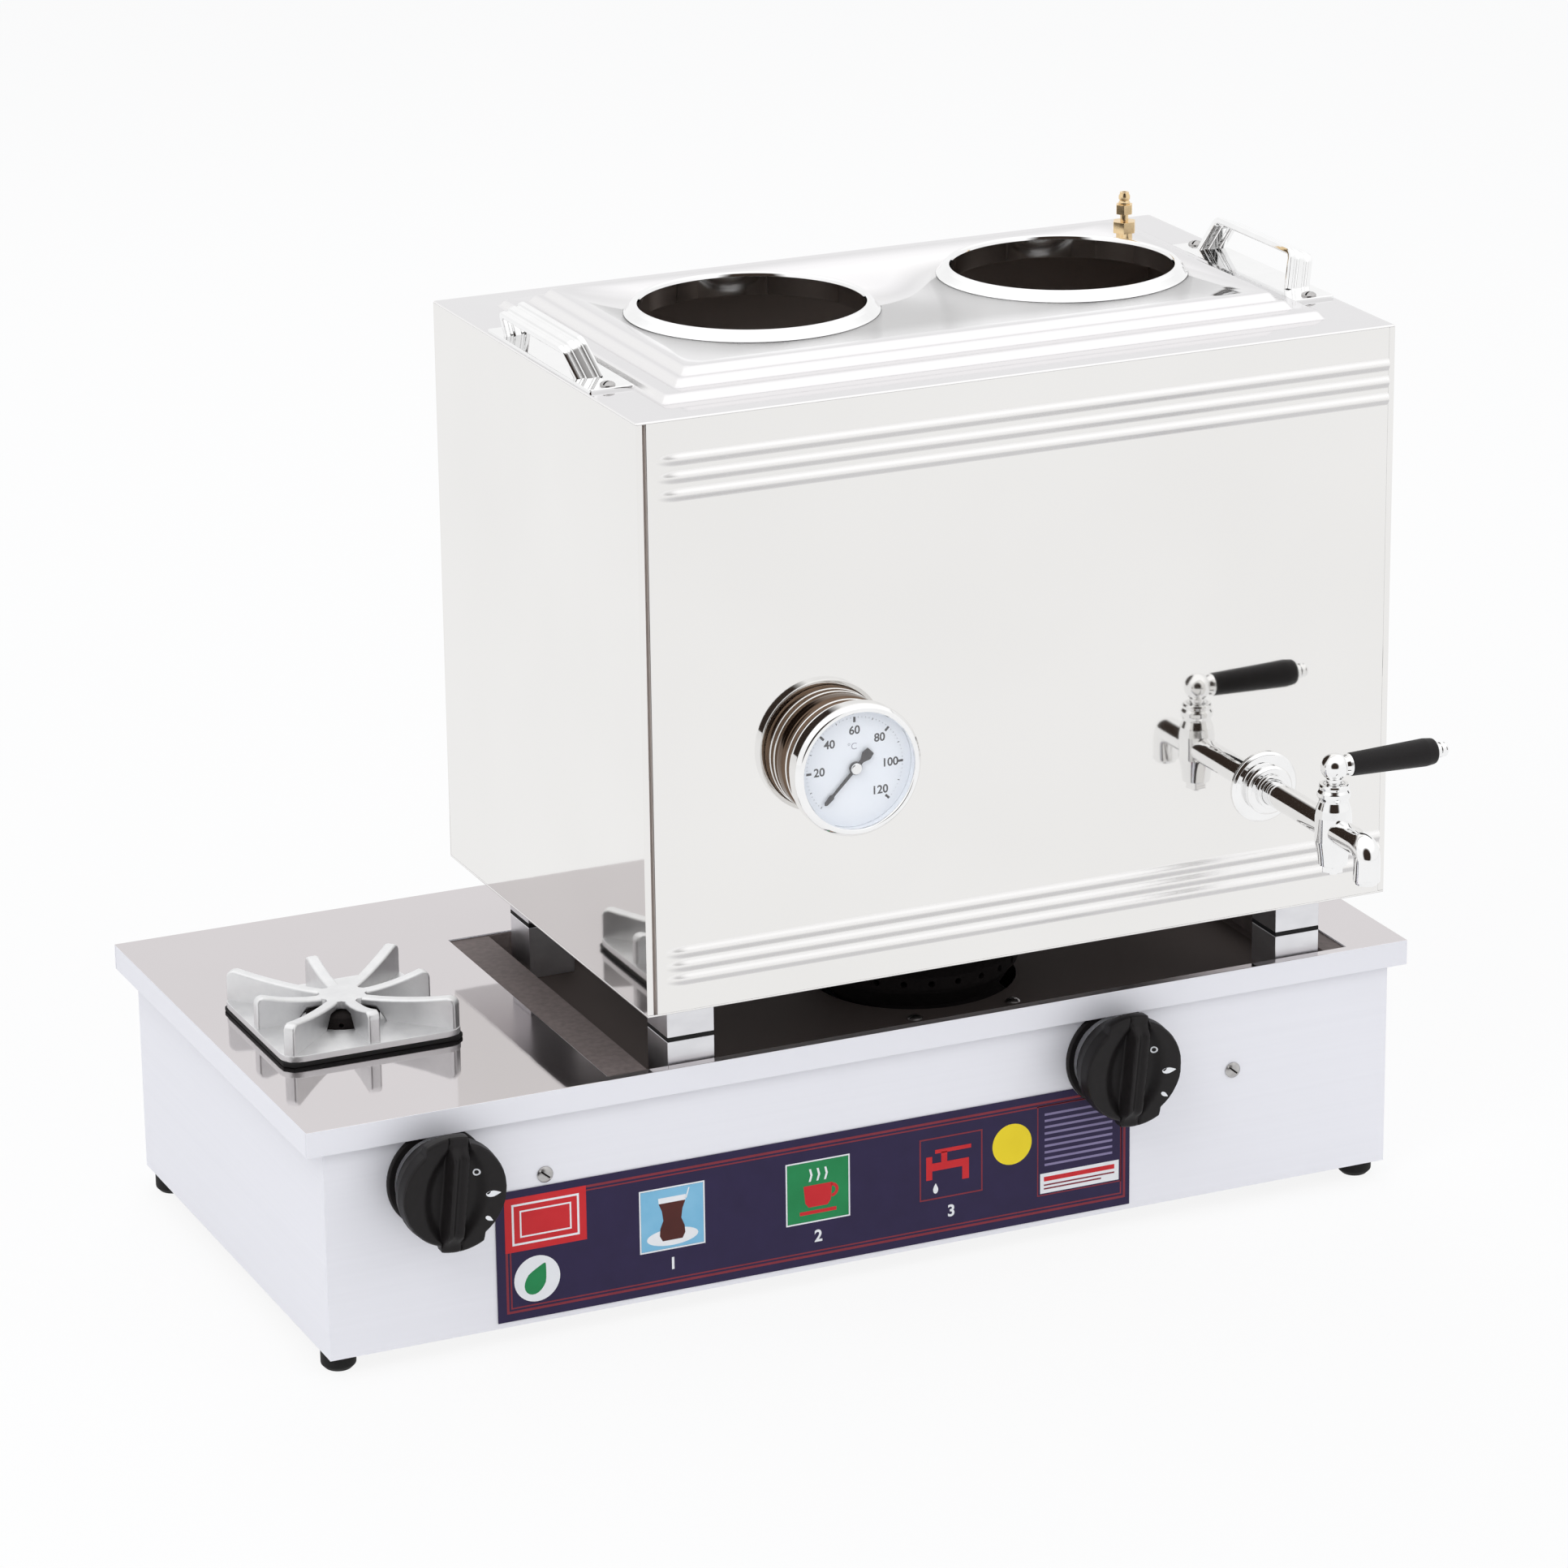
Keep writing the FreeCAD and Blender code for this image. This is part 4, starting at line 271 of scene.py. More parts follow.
INKS = {
    "navy": ((0.017, 0.010, 0.045), (0.026, 0.017, 0.066)),
    "dark_red": ((0.20, 0.022, 0.035), (0.26, 0.035, 0.05)),
    "red": ((0.55, 0.015, 0.022), (0.66, 0.03, 0.035)),
    "white": ((0.80, 0.82, 0.84), (0.90, 0.91, 0.92)),
    "sky": ((0.16, 0.45, 0.68), (0.28, 0.58, 0.78)),
    "green": ((0.01, 0.20, 0.06), (0.02, 0.27, 0.09)),
    "yellow": ((0.86, 0.66, 0.02), (0.94, 0.74, 0.03)),
    "tea": ((0.055, 0.012, 0.010), (0.10, 0.02, 0.015)),
    "lilac": ((0.20, 0.17, 0.32), (0.30, 0.26, 0.42)),
}
inks = {name: finish(f"ink_{name}", *tones, rough=(0.34, 0.46), grain=60, bump=0.05,
                     bump_grain=900, bump_height=0.00005, Specular_IOR_Level=0.25)
        for name, tones in INKS.items()}
print(len(bpy.data.materials), "finishes")

# %% [markdown]
# ## Ways to make a piece
# Each helper ends in a plain mesh whose place is in its points, so that a piece can be
# joined, cut or turned without a thought for its origin. `settle` then gives it a
# finish, smooth shading that leaves flat faces flat, and the body it rides on. A CAD
# piece that only lacks soft edges gets them with `rounded`.

# %% Helpers: meshes
@contextmanager
def editing(mesh, result=None):
    """Opens a mesh for editing, then writes it back or to another mesh."""
    work = bmesh.new()
    work.from_mesh(mesh)
    yield work
    work.to_mesh(result or mesh)
    work.free()


def quads(rows, size, closed=True):
    """The four-sided faces between rows of points, each row a ring or an open line."""
    across = size if closed else size - 1
    return [(r * size + i, r * size + (i + 1) % size, (r + 1) * size + (i + 1) % size,
             (r + 1) * size + i) for r in range(rows - 1) for i in range(across)]


def mesh_of(name, points, faces):
    """A mesh from points in millimetres, with its normals turned outwards."""
    mesh = bpy.data.meshes.new(name)
    mesh.from_pydata([Vector(p) * MM for p in points], [], faces)
    with editing(mesh) as work:
        bmesh.ops.remove_doubles(work, verts=work.verts, dist=1e-7)
        bmesh.ops.recalc_face_normals(work, faces=work.faces)
    return mesh


def shown(thing):
    """Puts an object into the scene."""
    bpy.context.scene.collection.objects.link(thing)
    return thing


def made_by(thing):
    """The mesh that an object's modifiers make, as a mesh of its own."""
    evaluated = thing.evaluated_get(bpy.context.evaluated_depsgraph_get())
    return bpy.data.meshes.new_from_object(evaluated)


# %% Helpers: from a mesh to a finished piece
def soften_edges(piece, width, steps, angle):
    """A bevel on every edge that is sharper than an angle."""
    rounding = piece.modifiers.new("edges", "BEVEL")
    rounding.width = width * MM
    rounding.segments = steps
    rounding.limit_method = "ANGLE"
    rounding.angle_limit = math.radians(angle)


def joined(name, meshes):
    """One mesh from several; their material numbers are kept."""
    whole = bmesh.new()
    for mesh in meshes:
        whole.from_mesh(mesh)
    result = bpy.data.meshes.new(name)
    whole.to_mesh(result)
    whole.free()
    return result


def settle(name, mesh, materials, body, nodes=(), bevel=0, angle=35):
    """Makes one object of a mesh or several, softens its edges, and gives it its body."""
    if isinstance(mesh, list):
        mesh = joined(name, mesh)
    piece = shown(bpy.data.objects.new(name, mesh))
    for material in materials:
        mesh.materials.append(material)
    mesh.polygons.foreach_set("use_smooth", [True] * len(mesh.polygons))
    if bevel:
        soften_edges(piece, bevel, 2, angle)
    else:
        for index in sharp_edges(mesh, angle):
            mesh.edges[index].use_edge_sharp = True
    weigh = piece.modifiers.new("flat_faces", "WEIGHTED_NORMAL")
    weigh.keep_sharp = True
    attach(piece, body)
    if nodes:
        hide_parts(*nodes)
    print(f"{name}: {len(mesh.polygons)} faces, on {body}")
    return piece


def sharp_edges(mesh, angle):
    """Which edges of a mesh have faces that meet at more than an angle."""
    probe = bmesh.new()
    probe.from_mesh(mesh)
    limit = math.radians(angle)
    found = [edge.index for edge in probe.edges
             if len(edge.link_faces) == 2 and edge.calc_face_angle() > limit]
    probe.free()
    return found


def rounded(node, radius, material):
    """A copy of a CAD piece with its edges rounded, in place of the CAD piece."""
    mesh = bpy.data.meshes.new(node + "_rounded")
    with editing(frame["nodes"][node].data, mesh) as copy:
        bmesh.ops.remove_doubles(copy, verts=copy.verts, dist=2e-6)
        bmesh.ops.dissolve_limit(copy, angle_limit=math.radians(1.5), verts=copy.verts,
                                 edges=copy.edges)
    return settle(node + "_rounded", mesh, [material], BODY_OF[node], [node], bevel=radius)


def dress(node, material):
    """Keeps a CAD piece as it is and gives it a finish."""
    thing = frame["nodes"][node]
    for slot in thing.material_slots:
        slot.material = material
    for polygon in thing.data.polygons:
        polygon.use_smooth = False


# %% [markdown]
# ### Outlines and the solids they make
# Most parts of this urn are sheets and turned parts. Both start as an outline: it is
# raised between two levels, or turned about an axis. The outline's corners are rounded
# first, which gives cleaner edges than a bevel on the finished solid.

# %% Helpers: outlines
STRAIGHT = math.radians(88)


def oblong(left, right_edge, low, high):
    """The corners of a rectangle, counter-clockwise."""
    return [(left, low), (right_edge, low), (right_edge, high), (left, high)]


def circle(radius, count=32):
    """The points of a circle, counter-clockwise."""
    return [(radius * math.cos(2 * math.pi * i / count), radius * math.sin(2 * math.pi * i / count))
            for i in range(count)]


def softened(outline, radius=0, steps=4):
    """A closed outline with rounded corners; a point's third number is its own radius."""
    result = []
    for index, (u, v, *own) in enumerate(outline):
        corner = Vector((u, v))
        before = Vector(outline[index - 1][:2]) - corner
        after = Vector(outline[(index + 1) % len(outline)][:2]) - corner
        half = before.angle(after) / 2
        size = own[0] if own else radius
        if not size or half > STRAIGHT:
            result.append(tuple(corner))
            continue
        reach = min(size / math.tan(half), before.length * 0.49, after.length * 0.49)
        start = corner + before.normalized() * reach
        end = corner + after.normalized() * reach
        for step in range(steps + 1):
            t = step / steps
            result.append(tuple((1 - t) ** 2 * start + 2 * t * (1 - t) * corner + t * t * end))
    return result


# %% Helpers: solids from outlines
def turned(name, outline, centre, axis="Z", count=64):
    """A solid of revolution: outline points are (radius, height) along an axis."""
    points = []
    for c, s in circle(1, count):
        for radius, height in outline:
            local = {"Z": (radius * c, radius * s, height),
                     "-Y": (radius * c, -height, radius * s),
                     "X": (height, radius * c, radius * s)}[axis]
            points.append(tuple(a + b for a, b in zip(centre, local)))
    size = len(outline)
    faces = []
    for turn in range(count):
        here, there = turn * size, (turn + 1) % count * size
        faces += [(here + i, there + i, there + (i + 1) % size, here + (i + 1) % size)
                  for i in range(size)]
    return clean(mesh_of(name, points, faces))


def clean(mesh):
    """Takes out the flat faces that a point on the axis leaves."""
    with editing(mesh) as work:
        bmesh.ops.dissolve_degenerate(work, dist=1e-7, edges=work.edges)
        loose = [face for face in work.faces if face.calc_area() < 1e-13]
        bmesh.ops.delete(work, geom=loose, context="FACES_ONLY")
        bmesh.ops.remove_doubles(work, verts=work.verts, dist=1e-7)
        bmesh.ops.recalc_face_normals(work, faces=work.faces)
    return mesh


def between(name, near, far):
    """A closed solid between two outlines with as many points."""
    size = len(near)
    ends = [tuple(range(size)), tuple(range(size, 2 * size))]
    return mesh_of(name, near + far, ends + quads(2, size))


def slab(name, outline, low, high, facing="Z"):
    """A plate between two levels of an axis, with an outline across it."""
    near, far = ([{"Z": (u, v, level), "Y": (u, level, v)}[facing] for u, v in outline]
                 for level in (low, high))
    return between(name, near, far)


# %% [markdown]
# ## What repeats
# Screw heads, feet, fins, dial marks and lines of print are each one small part set
# many times. Two Geometry Nodes trees do it: one turns copies about an axis, the other
# puts a copy on every point of a carrier. Both end in real geometry with a material,
# because an exported model can't hold instances.

# %% Trees that repeat a part
def tree_with(name, **sockets):
    """A tree that takes points, a part, a material and more, and its input and output."""
    tree = bpy.data.node_groups.new(name, "GeometryNodeTree")
    sockets = {"Geometry": "Geometry", "Part": "Object", "Material": "Material", **sockets}
    for label, kind in sockets.items():
        tree.interface.new_socket(label, in_out="INPUT", socket_type=f"NodeSocket{kind}")
    tree.interface.new_socket("Geometry", in_out="OUTPUT", socket_type="NodeSocketGeometry")
    return tree, tree.nodes.new("NodeGroupInput").outputs, tree.nodes.new("NodeGroupOutput")


def copies_on(tree, group_in, group_out, points, rotation):
    """Sets the chosen part on points as real geometry with a material."""
    part = add(tree, "GeometryNodeObjectInfo", {"Object": group_in["Part"]})
    copies = add(tree, "GeometryNodeInstanceOnPoints", {
        "Points": points, "Instance": part.outputs["Geometry"], "Rotation": rotation})
    real = add(tree, "GeometryNodeRealizeInstances", {"Geometry": copies.outputs["Instances"]})
    paint = add(tree, "GeometryNodeSetMaterial", {
        "Geometry": real.outputs["Geometry"], "Material": group_in["Material"]})
    feed(tree, group_out, {"Geometry": paint.outputs["Geometry"]})


ring_tree, ring_in, ring_out = tree_with(
    "copies_round_an_axis", Count="Int", Centre="Vector", Axis="Vector", Start="Float",
    Step="Float")
spots = add(ring_tree, "GeometryNodePoints", {
    "Count": ring_in["Count"], "Position": ring_in["Centre"]})
order = add(ring_tree, "GeometryNodeInputIndex", {}).outputs["Index"]
reached = calc(ring_tree, "MULTIPLY_ADD", order, ring_in["Step"], ring_in["Start"])
turned_by = add(ring_tree, "ShaderNodeVectorMath", {
    0: ring_in["Axis"], "Scale": reached}, operation="SCALE")
copies_on(ring_tree, ring_in, ring_out, spots.outputs["Points"], turned_by.outputs["Vector"])

spread_tree, spread_in, spread_out = tree_with("copies_on_points", Turn="Vector")
copies_on(spread_tree, spread_in, spread_out, spread_in["Geometry"], spread_in["Turn"])


# %% [markdown]
# ### Running a tree
# A carrier object holds the points, and the tree's inputs are filled in by their names.
# The result is taken off the carrier as a plain mesh, and the carrier goes.

# %% Run a tree and keep its result
def grown(name, tree, part_mesh, places=(), **inputs):
    """Runs a tree once and returns what it made as a plain mesh."""
    part = bpy.data.objects.new(name + "_part", part_mesh)
    carrier_mesh = bpy.data.meshes.new(name + "_carrier")
    carrier_mesh.from_pydata([Vector(p) * MM for p in places], [], [])
    carrier = shown(bpy.data.objects.new(name + "_carrier", carrier_mesh))
    modifier = carrier.modifiers.new("repeat", "NODES")
    modifier.node_group = tree
    values = {"Part": part, **inputs}
    for item in tree.interface.items_tree:
        if item.item_type == "SOCKET" and item.in_out == "INPUT" and item.name in values:
            modifier[item.identifier] = values[item.name]
    result = made_by(carrier)
    result.name = name
    bpy.data.objects.remove(carrier)
    bpy.data.objects.remove(part)
    result.materials.clear()
    return result


# %% [markdown]
# ## Boiler: front sheet
# The front has three pressed beads near the top and three near the bottom. They start
# with a drawn-out end beside the left seam and run off the right edge. The sheet is a
# grid that is fine only where a bead bends it, and each point moves out by how near it
# is to a bead's middle line. At the seam the sheet steps back, and the step is browner.

# %% Front sheet with its beads
FRONT = -197.0
SHEET = 1.2
LEFT, RIGHT, BACK = -158.0, 328.0, 115.0
BOTTOM, TOP = 202.5, 557.5
PANEL_LEFT, PANEL_RIGHT = -152.0, 324.0
BEAD_HEIGHTS = [TOP - 23.7 - 10.4 * i for i in range(3)]
BEAD_HEIGHTS += [BOTTOM + 20.5 + 8.2 * i for i in range(3)]
BEAD_START, BEAD_TAPER, BEAD_HALF, BEAD_RISE = -131.5, 4.0, 4.2, 1.5


def bead_rise(x, z):
    """How far the beads push the sheet out at one point."""
    rise = 0.0
    for height in BEAD_HEIGHTS:
        away = math.hypot(min(x - BEAD_START, 0) / BEAD_TAPER, z - height)
        if away < BEAD_HALF:
            rise = max(rise, BEAD_RISE * (0.5 + 0.5 * math.cos(math.pi * away / BEAD_HALF)))
    return rise


columns = [PANEL_LEFT, -149.5] + [-148 + 0.75 * i for i in range(31)] + [-120]
columns += [-120 + 12 * i for i in range(1, 37)] + [PANEL_RIGHT]
levels = {BOTTOM + SHEET, TOP - SHEET, 300.0, 380.0, 460.0}
for height in BEAD_HEIGHTS:
    levels.update(height + BEAD_HALF * step / 8 for step in range(-8, 9))
grid = [(x, FRONT - bead_rise(x, z), z) for z in sorted(levels) for x in columns]
grid_faces = quads(len(levels), len(columns), closed=False)
skin = mesh_of("front_skin", grid, grid_faces)
inner = [(x, y + SHEET, z) for x, y, z in grid]
liner = mesh_of("front_liner", inner, [face[::-1] for face in grid_faces])
joggle = joined("joggle", [
    slab(name, oblong(left, right_edge, front, behind), BOTTOM + SHEET, TOP - SHEET)
    for name, left, right_edge, front, behind in (
        ("joggle_web", PANEL_LEFT, PANEL_LEFT + SHEET, FRONT + SHEET, FRONT + 4.2),
        ("joggle_strip", -155.2, PANEL_LEFT + SHEET, FRONT + 4.2, FRONT + 5.4),
        ("left_edge", PANEL_LEFT, PANEL_LEFT + 0.3, FRONT, FRONT + SHEET))])
joggle.polygons.foreach_set("material_index", [1] * len(joggle.polygons))
settle("boiler_front_sheet", [skin, liner, joggle], [polished, seam_steel], "boiler",
       ["boiler_front_panel"], angle=60)
for node in ("boiler_left_side", "boiler_right_side", "boiler_back_panel", "boiler_bottom"):
    rounded(node, 0.35, polished)

# %% [markdown]
# ## Boiler: stepped top
# The top is pressed up in three low steps round the teapot holes. The steps are rings
# of a rounded rectangle, one ring for each bend, so that every edge catches the light.
# Inside the last ring lies a flat table, filled round its holes. The sheet gets its
# thickness at the end.

# %% Steps
def rounded_rectangle(inset, corner, z):
    """A ring of points at an inset from the top's edge."""
    ring = softened(oblong(LEFT + inset, RIGHT - inset, FRONT + inset, BACK - inset), corner)
    return [(x, y, z) for x, y in ring]


STEP_INSETS, STEP_RISE = (30, 44, 51), 4.5
STEP_LINE = [(-1.2, 0), (-0.2, 0.35), (0.7, 1.3), (2.1, 3.2), (3.0, 4.15), (4.3, STEP_RISE)]
rings = [(0.02, 0.6, TOP - SHEET), (0.05, 0.8, TOP - 0.8), (0.35, 1.0, TOP - 0.25),
         (1.0, 1.5, TOP), (3.0, 2.0, TOP)]
for index, inset in enumerate(STEP_INSETS):
    rings += [(inset + over, 3, TOP + index * STEP_RISE + up) for over, up in STEP_LINE]
raised = TOP + 3 * STEP_RISE
ring_points = [rounded_rectangle(*ring) for ring in rings]
steps_mesh = mesh_of("steps", [p for ring in ring_points for p in ring],
                     quads(len(rings), len(ring_points[0])))

# %% Table with its holes
POT_HOLES = [(-17.0, -41.0, 68.2), (187.0, -41.0, 68.2)]
VENT = (256.0, 11.0)
VENT_HOLE = (*VENT, 4.6)


def filled(work, loops):
    """Fills the flat space between closed loops of points in an open mesh."""
    for loop in loops:
        corners = [work.verts.new(Vector(p) * MM) for p in loop]
        for i, corner in enumerate(corners):
            work.edges.new((corner, corners[(i + 1) % len(corners)]))
    bmesh.ops.triangle_fill(work, edges=work.edges, use_beauty=True, normal=(0, 0, 1))


table_mesh = bpy.data.meshes.new("table")
hole_loops = [[(x + u, y + v, raised) for u, v in circle(radius, 96)]
              for x, y, radius in POT_HOLES + [VENT_HOLE]]
with editing(table_mesh) as table:
    filled(table, [ring_points[-1]] + hole_loops)
top_mesh = joined("boiler_top_sheet", [steps_mesh, table_mesh])
with editing(top_mesh) as work:
    bmesh.ops.remove_doubles(work, verts=work.verts, dist=1e-6)
    bmesh.ops.recalc_face_normals(work, faces=work.faces)
    if sum(face.normal.z * face.calc_area() for face in work.faces) < 0:
        bmesh.ops.reverse_faces(work, faces=work.faces)
top_sheet = settle("boiler_top_sheet", top_mesh, [polished], "boiler", ["boiler_top"], angle=60)
thicken = top_sheet.modifiers.new("sheet", "SOLIDIFY")
thicken.thickness = SHEET * MM
thicken.offset = -1

# %% Teapot collars
collar_outline = softened([(67, -8, 0.4), (68.2, -8), (68.2, 0), (76, 0, 0.1), (74.9, 1.0, 1.6),
                           (72.2, 4.2, 2.0), (70.0, 6, 2.0), (67.9, 5.6, 1.2), (67, 3.6, 1.2)])
collars = [turned("collar", collar_outline, (x, y, raised), count=96)
           for x, y, _ in POT_HOLES]
settle("teapot_rings", collars, [chrome], "boiler", ["teapot_collars"], angle=80)

# %% [markdown]
# ## Carrying handles
# A handle is one chromed strap with two grooves along it, bent over a plate and leaned
# outwards. The section with its grooves is pushed along the bent line of the strap,
# the strap is turned by its lean, and a plane cuts its feet off inside the plate.

# %% A section pushed along a path
def swept(name, path, section, middle=0.0):
    """A section (across, out) pushed along a path of (y, z) points."""
    points = []
    count = len(path)
    for index in range(count):
        here = Vector(path[index])
        along = Vector(path[min(index + 1, count - 1)]) - Vector(path[max(index - 1, 0)])
        out = Vector((-along.y, along.x)).normalized()
        for side, away in section:
            spot = here + out * away
            points.append((middle + side, spot.x, spot.y))
    size = len(section)
    ends = [tuple(range(size)), tuple(range((count - 1) * size, count * size))]
    return mesh_of(name, points, quads(count, size) + ends)


def shifted(mesh, x=0.0, y=0.0, z=0.0):
    """Moves a mesh by millimetres."""
    mesh.transform(Matrix.Translation(Vector((x, y, z)) * MM))
    return mesh


# %% Handles
strap_face = [(8, 2, 1.0), (5.0, 2), (4.2, 0.8), (2.6, 0.8), (1.8, 2), (-1.8, 2), (-2.6, 0.8),
              (-4.2, 0.8), (-5.0, 2), (-8, 2, 1.0)]
strap_section = softened(strap_face + [(-u, -v, *own) for u, v, *own in strap_face], 0.4, 3)
HANDLES = {"left_handle": (-142.5, -1), "right_handle": (312.5, 1)}
PLATE_THICK, PLATE_HALF = 2, 14.25
STRAP_LEAN, STRAP_OUT, STRAP_MIDDLE = math.radians(20), 3.0, -45.0
for node, (middle, outward) in HANDLES.items():
    bend = softened([(-55.8, -2.5), (-47, 19, 6), (47, 19, 6), (55.8, -2.5)], steps=8)
    strap = swept(node, bend[::-1], strap_section)
    strap.transform(Matrix.Rotation(STRAP_LEAN * outward, 4, "Y"))
    shifted(strap, middle + STRAP_OUT * outward, STRAP_MIDDLE, TOP + PLATE_THICK)
    with editing(strap) as work:
        bmesh.ops.bisect_plane(work, geom=work.verts[:] + work.edges[:] + work.faces[:],
                               plane_co=(0, 0, (TOP + 0.6) * MM), plane_no=(0, 0, 1),
                               clear_inner=True)
        bmesh.ops.holes_fill(work, edges=[e for e in work.edges if e.is_boundary])
    plate = slab("plate", softened(oblong(middle - PLATE_HALF, middle + PLATE_HALF, -126, 30), 2),
                 TOP, TOP + PLATE_THICK)
    with editing(plate) as work:
        rim = [e for e in work.edges if all(v.co.z > (TOP + 1.5) * MM for v in e.verts)]
        bmesh.ops.bevel(work, geom=rim, offset=0.6 * MM, segments=2, affect="EDGES", profile=0.5)
    settle(node + "_chromed", [strap, plate], [chrome], "boiler", [node], angle=50)

# %% [markdown]
# ## Screw heads
# All the small screws have round heads with a slot cut in. One head is made with the
# slot, and the tree sets it at every place where the CAD has a screw. A dark sliver in
# each slot is painted shade.

# %% Screws
def screw_head(diameter, height, shank):
    """A domed head with a slot, its seat at the origin and facing +Z."""
    half = diameter / 2
    dome = turned("dome", [(0, -shank), (half * 0.42, -shank), (half * 0.42, 0), (half, 0),
                           (half, height * 0.28), (half * 0.86, height * 0.62),
                           (half * 0.6, height * 0.88), (half * 0.3, height), (0, height)],
                  (0, 0, 0), count=32)
    body = shown(bpy.data.objects.new("dome", dome))
    cut = oblong(-half * 1.2, half * 1.2, -half * 0.13, half * 0.13)
    tool = shown(bpy.data.objects.new("blade", slab("cut", cut, height * 0.4, height * 2)))
    carve = body.modifiers.new("slot", "BOOLEAN")
    carve.operation = "DIFFERENCE"
    carve.object = tool
    carve.solver = "EXACT"
    result = made_by(body)
    for thing in (body, tool):
        bpy.data.objects.remove(thing)
    return result


CASING_FRONT = -167.5
SCREWS = {
    "front_panel_screws": (screw_head(10, 2.4, 6),
                           [(-212.5, CASING_FRONT, 104.4), (241.5, CASING_FRONT, 90.9)],
                           (math.pi / 2, 0.7, 0.0)),
    "handle_screws": (screw_head(9, 2.25, 8),
                      [(x, -48 + s * 72, TOP + PLATE_THICK)
                       for x, _ in HANDLES.values() for s in (-1, 1)],
                      (0.0, 0.0, 0.6)),
    "tray_screws": (screw_head(9, 2.25, 8),
                    [(85 + sx * 33, -41 + sy * 73, 138) for sx in (-1, 1) for sy in (-1, 1)],
                    (0.0, 0.0, 0.3)),
}
for node, (head, places, turn) in SCREWS.items():
    # The shade slab is painted shade: a dark sliver laid in every slot.
    shade = slab("shade", oblong(-3.6, 3.6, -0.5, 0.5), 0.9, 1.15)
    heads = grown(node + "_heads", spread_tree, head, places, Material=zinc, Turn=turn)
    settle(node + "_heads", heads, [zinc], BODY_OF[node], [node], angle=30)
    shades = grown(node + "_slots", spread_tree, shade, places, Material=iron, Turn=turn)
    settle(node + "_slots", shades, [iron], BODY_OF[node], angle=30)

# %% [markdown]
# ## Vent nipple
# A small brass nipple stands at the back right of the top: two hexagons with a thin
# waist, a grooved tip, and a nut under the sheet. The hexagons are slabs, the round
# parts are turned.

# %% Vent nipple
def hexagon(flats, low, high):
    """A hexagonal part of the nipple with softened corners."""
    outline = [(VENT[0] + u, VENT[1] + v) for u, v in circle(flats / math.sqrt(3), 6)]
    return slab("hex", softened(outline, 0.7, 3), raised + low, raised + high)


nipple_line = [(1.25, -9), (4.5, -9), (4.5, 0), (5, 0), (5, 5.5), (4, 6), (4, 12), (2.5, 12.6),
               (2.5, 17), (3.2, 17.4), (3.2, 22.8), (3.5, 23), (3.5, 24.4), (2.9, 25.0),
               (2.9, 25.6), (3.5, 26.2), (3.5, 28.2), (2.8, 29.4), (2.8, 30.5), (1.25, 30.5)]
nipple = [turned("core", nipple_line, (*VENT, raised), count=32),
          hexagon(13, -6.2, -1.2), hexagon(13, 5.5, 12.5), hexagon(9.5, 17, 23)]
settle("vent_nipple_brass", nipple, [brass], "boiler", ["vent_nipple"], bevel=0.3, angle=40)

# %% [markdown]
# ## Thermometer
# The dial thermometer has a ringed case, a rounded bezel and a pale dial behind glass.
# Case and bezel are outlines turned about the axis of the dial. The crests of the rings
# are bright and the inside is white, so those faces get finishes of their own.

# %% Case, bezel and glass
DIAL = (-36.0, FRONT, 344.0)
case_outline = [(6, 0), (36.9, 0), (37.0, 0.4), (37.0, 3.2), (36.5, 4.0), (35.3, 4.6),
                (35.0, 5.6), (35.3, 6.6), (36.5, 7.2), (36.9, 8.2), (36.5, 9.2), (35.3, 9.9),
                (35.0, 11.0), (35.3, 12.1), (36.5, 12.8), (36.9, 13.8), (36.5, 14.8),
                (35.4, 15.5), (35.2, 18.0), (36.4, 18.8), (37.0, 20.0), (37, 29.4), (35.8, 29.4),
                (35.8, 22.5), (33, 22.5), (33, 1.5), (6, 1.5)]
case_mesh = turned("case", case_outline, DIAL, "-Y", 96)
settle("thermometer_ringed_case", case_mesh, [case_steel, chrome, dial_white], "boiler",
       ["thermometer_case"], angle=50)
CREST_RADIUS, RINGED, INNER_RADIUS, DIAL_DEPTH = 36.6, (5, 15), 36, 22
for face in case_mesh.polygons:
    away = Vector((face.center.x / MM - DIAL[0], face.center.z / MM - DIAL[2])).length
    depth = DIAL[1] - face.center.y / MM
    if away > CREST_RADIUS and RINGED[0] < depth < RINGED[1]:
        face.material_index = 1
    elif away < INNER_RADIUS and depth > DIAL_DEPTH:
        face.material_index = 2
bezel_outline = softened([(37.1, 20.5, 0.5), (40, 20.5, 1.0), (40, 28.2, 2.6), (37.6, 31, 1.8),
                          (35.4, 31, 0.8), (34.5, 29.5, 0.3), (37.1, 29.5, 0.3)], steps=5)
settle("thermometer_round_bezel", turned("bezel", bezel_outline, DIAL, "-Y", 96), [chrome],
       "boiler", ["thermometer_bezel"], angle=60)
dress("thermometer_dial", dial_white)
dress("thermometer_glass", glass)
dress("thermometer_pocket", brass)

# %% [markdown]
# ### Dial marks and figures
# The dial has a long mark every 20 degrees, a short one every 10 and a fine one every 2.
# Each kind is one bar that the ring tree turns about the pointer's axis, and the figures
# are text made into a thin mesh. Drawn strokes stay sharp at any distance.

# %% Dial marks and figures
DIAL_FACE = FRONT - 23.5
INK_THICK = 0.06
DEGREES_EACH = 2.25
FIGURE_RADIUS = 22.4


def mark(inner_radius, outer_radius, width):
    """A bar that points away from the origin along +X, in the plane of the dial."""
    outline = oblong(inner_radius, outer_radius, -width / 2, width / 2)
    return slab("mark", outline, -0.10, 0.02, "Y")


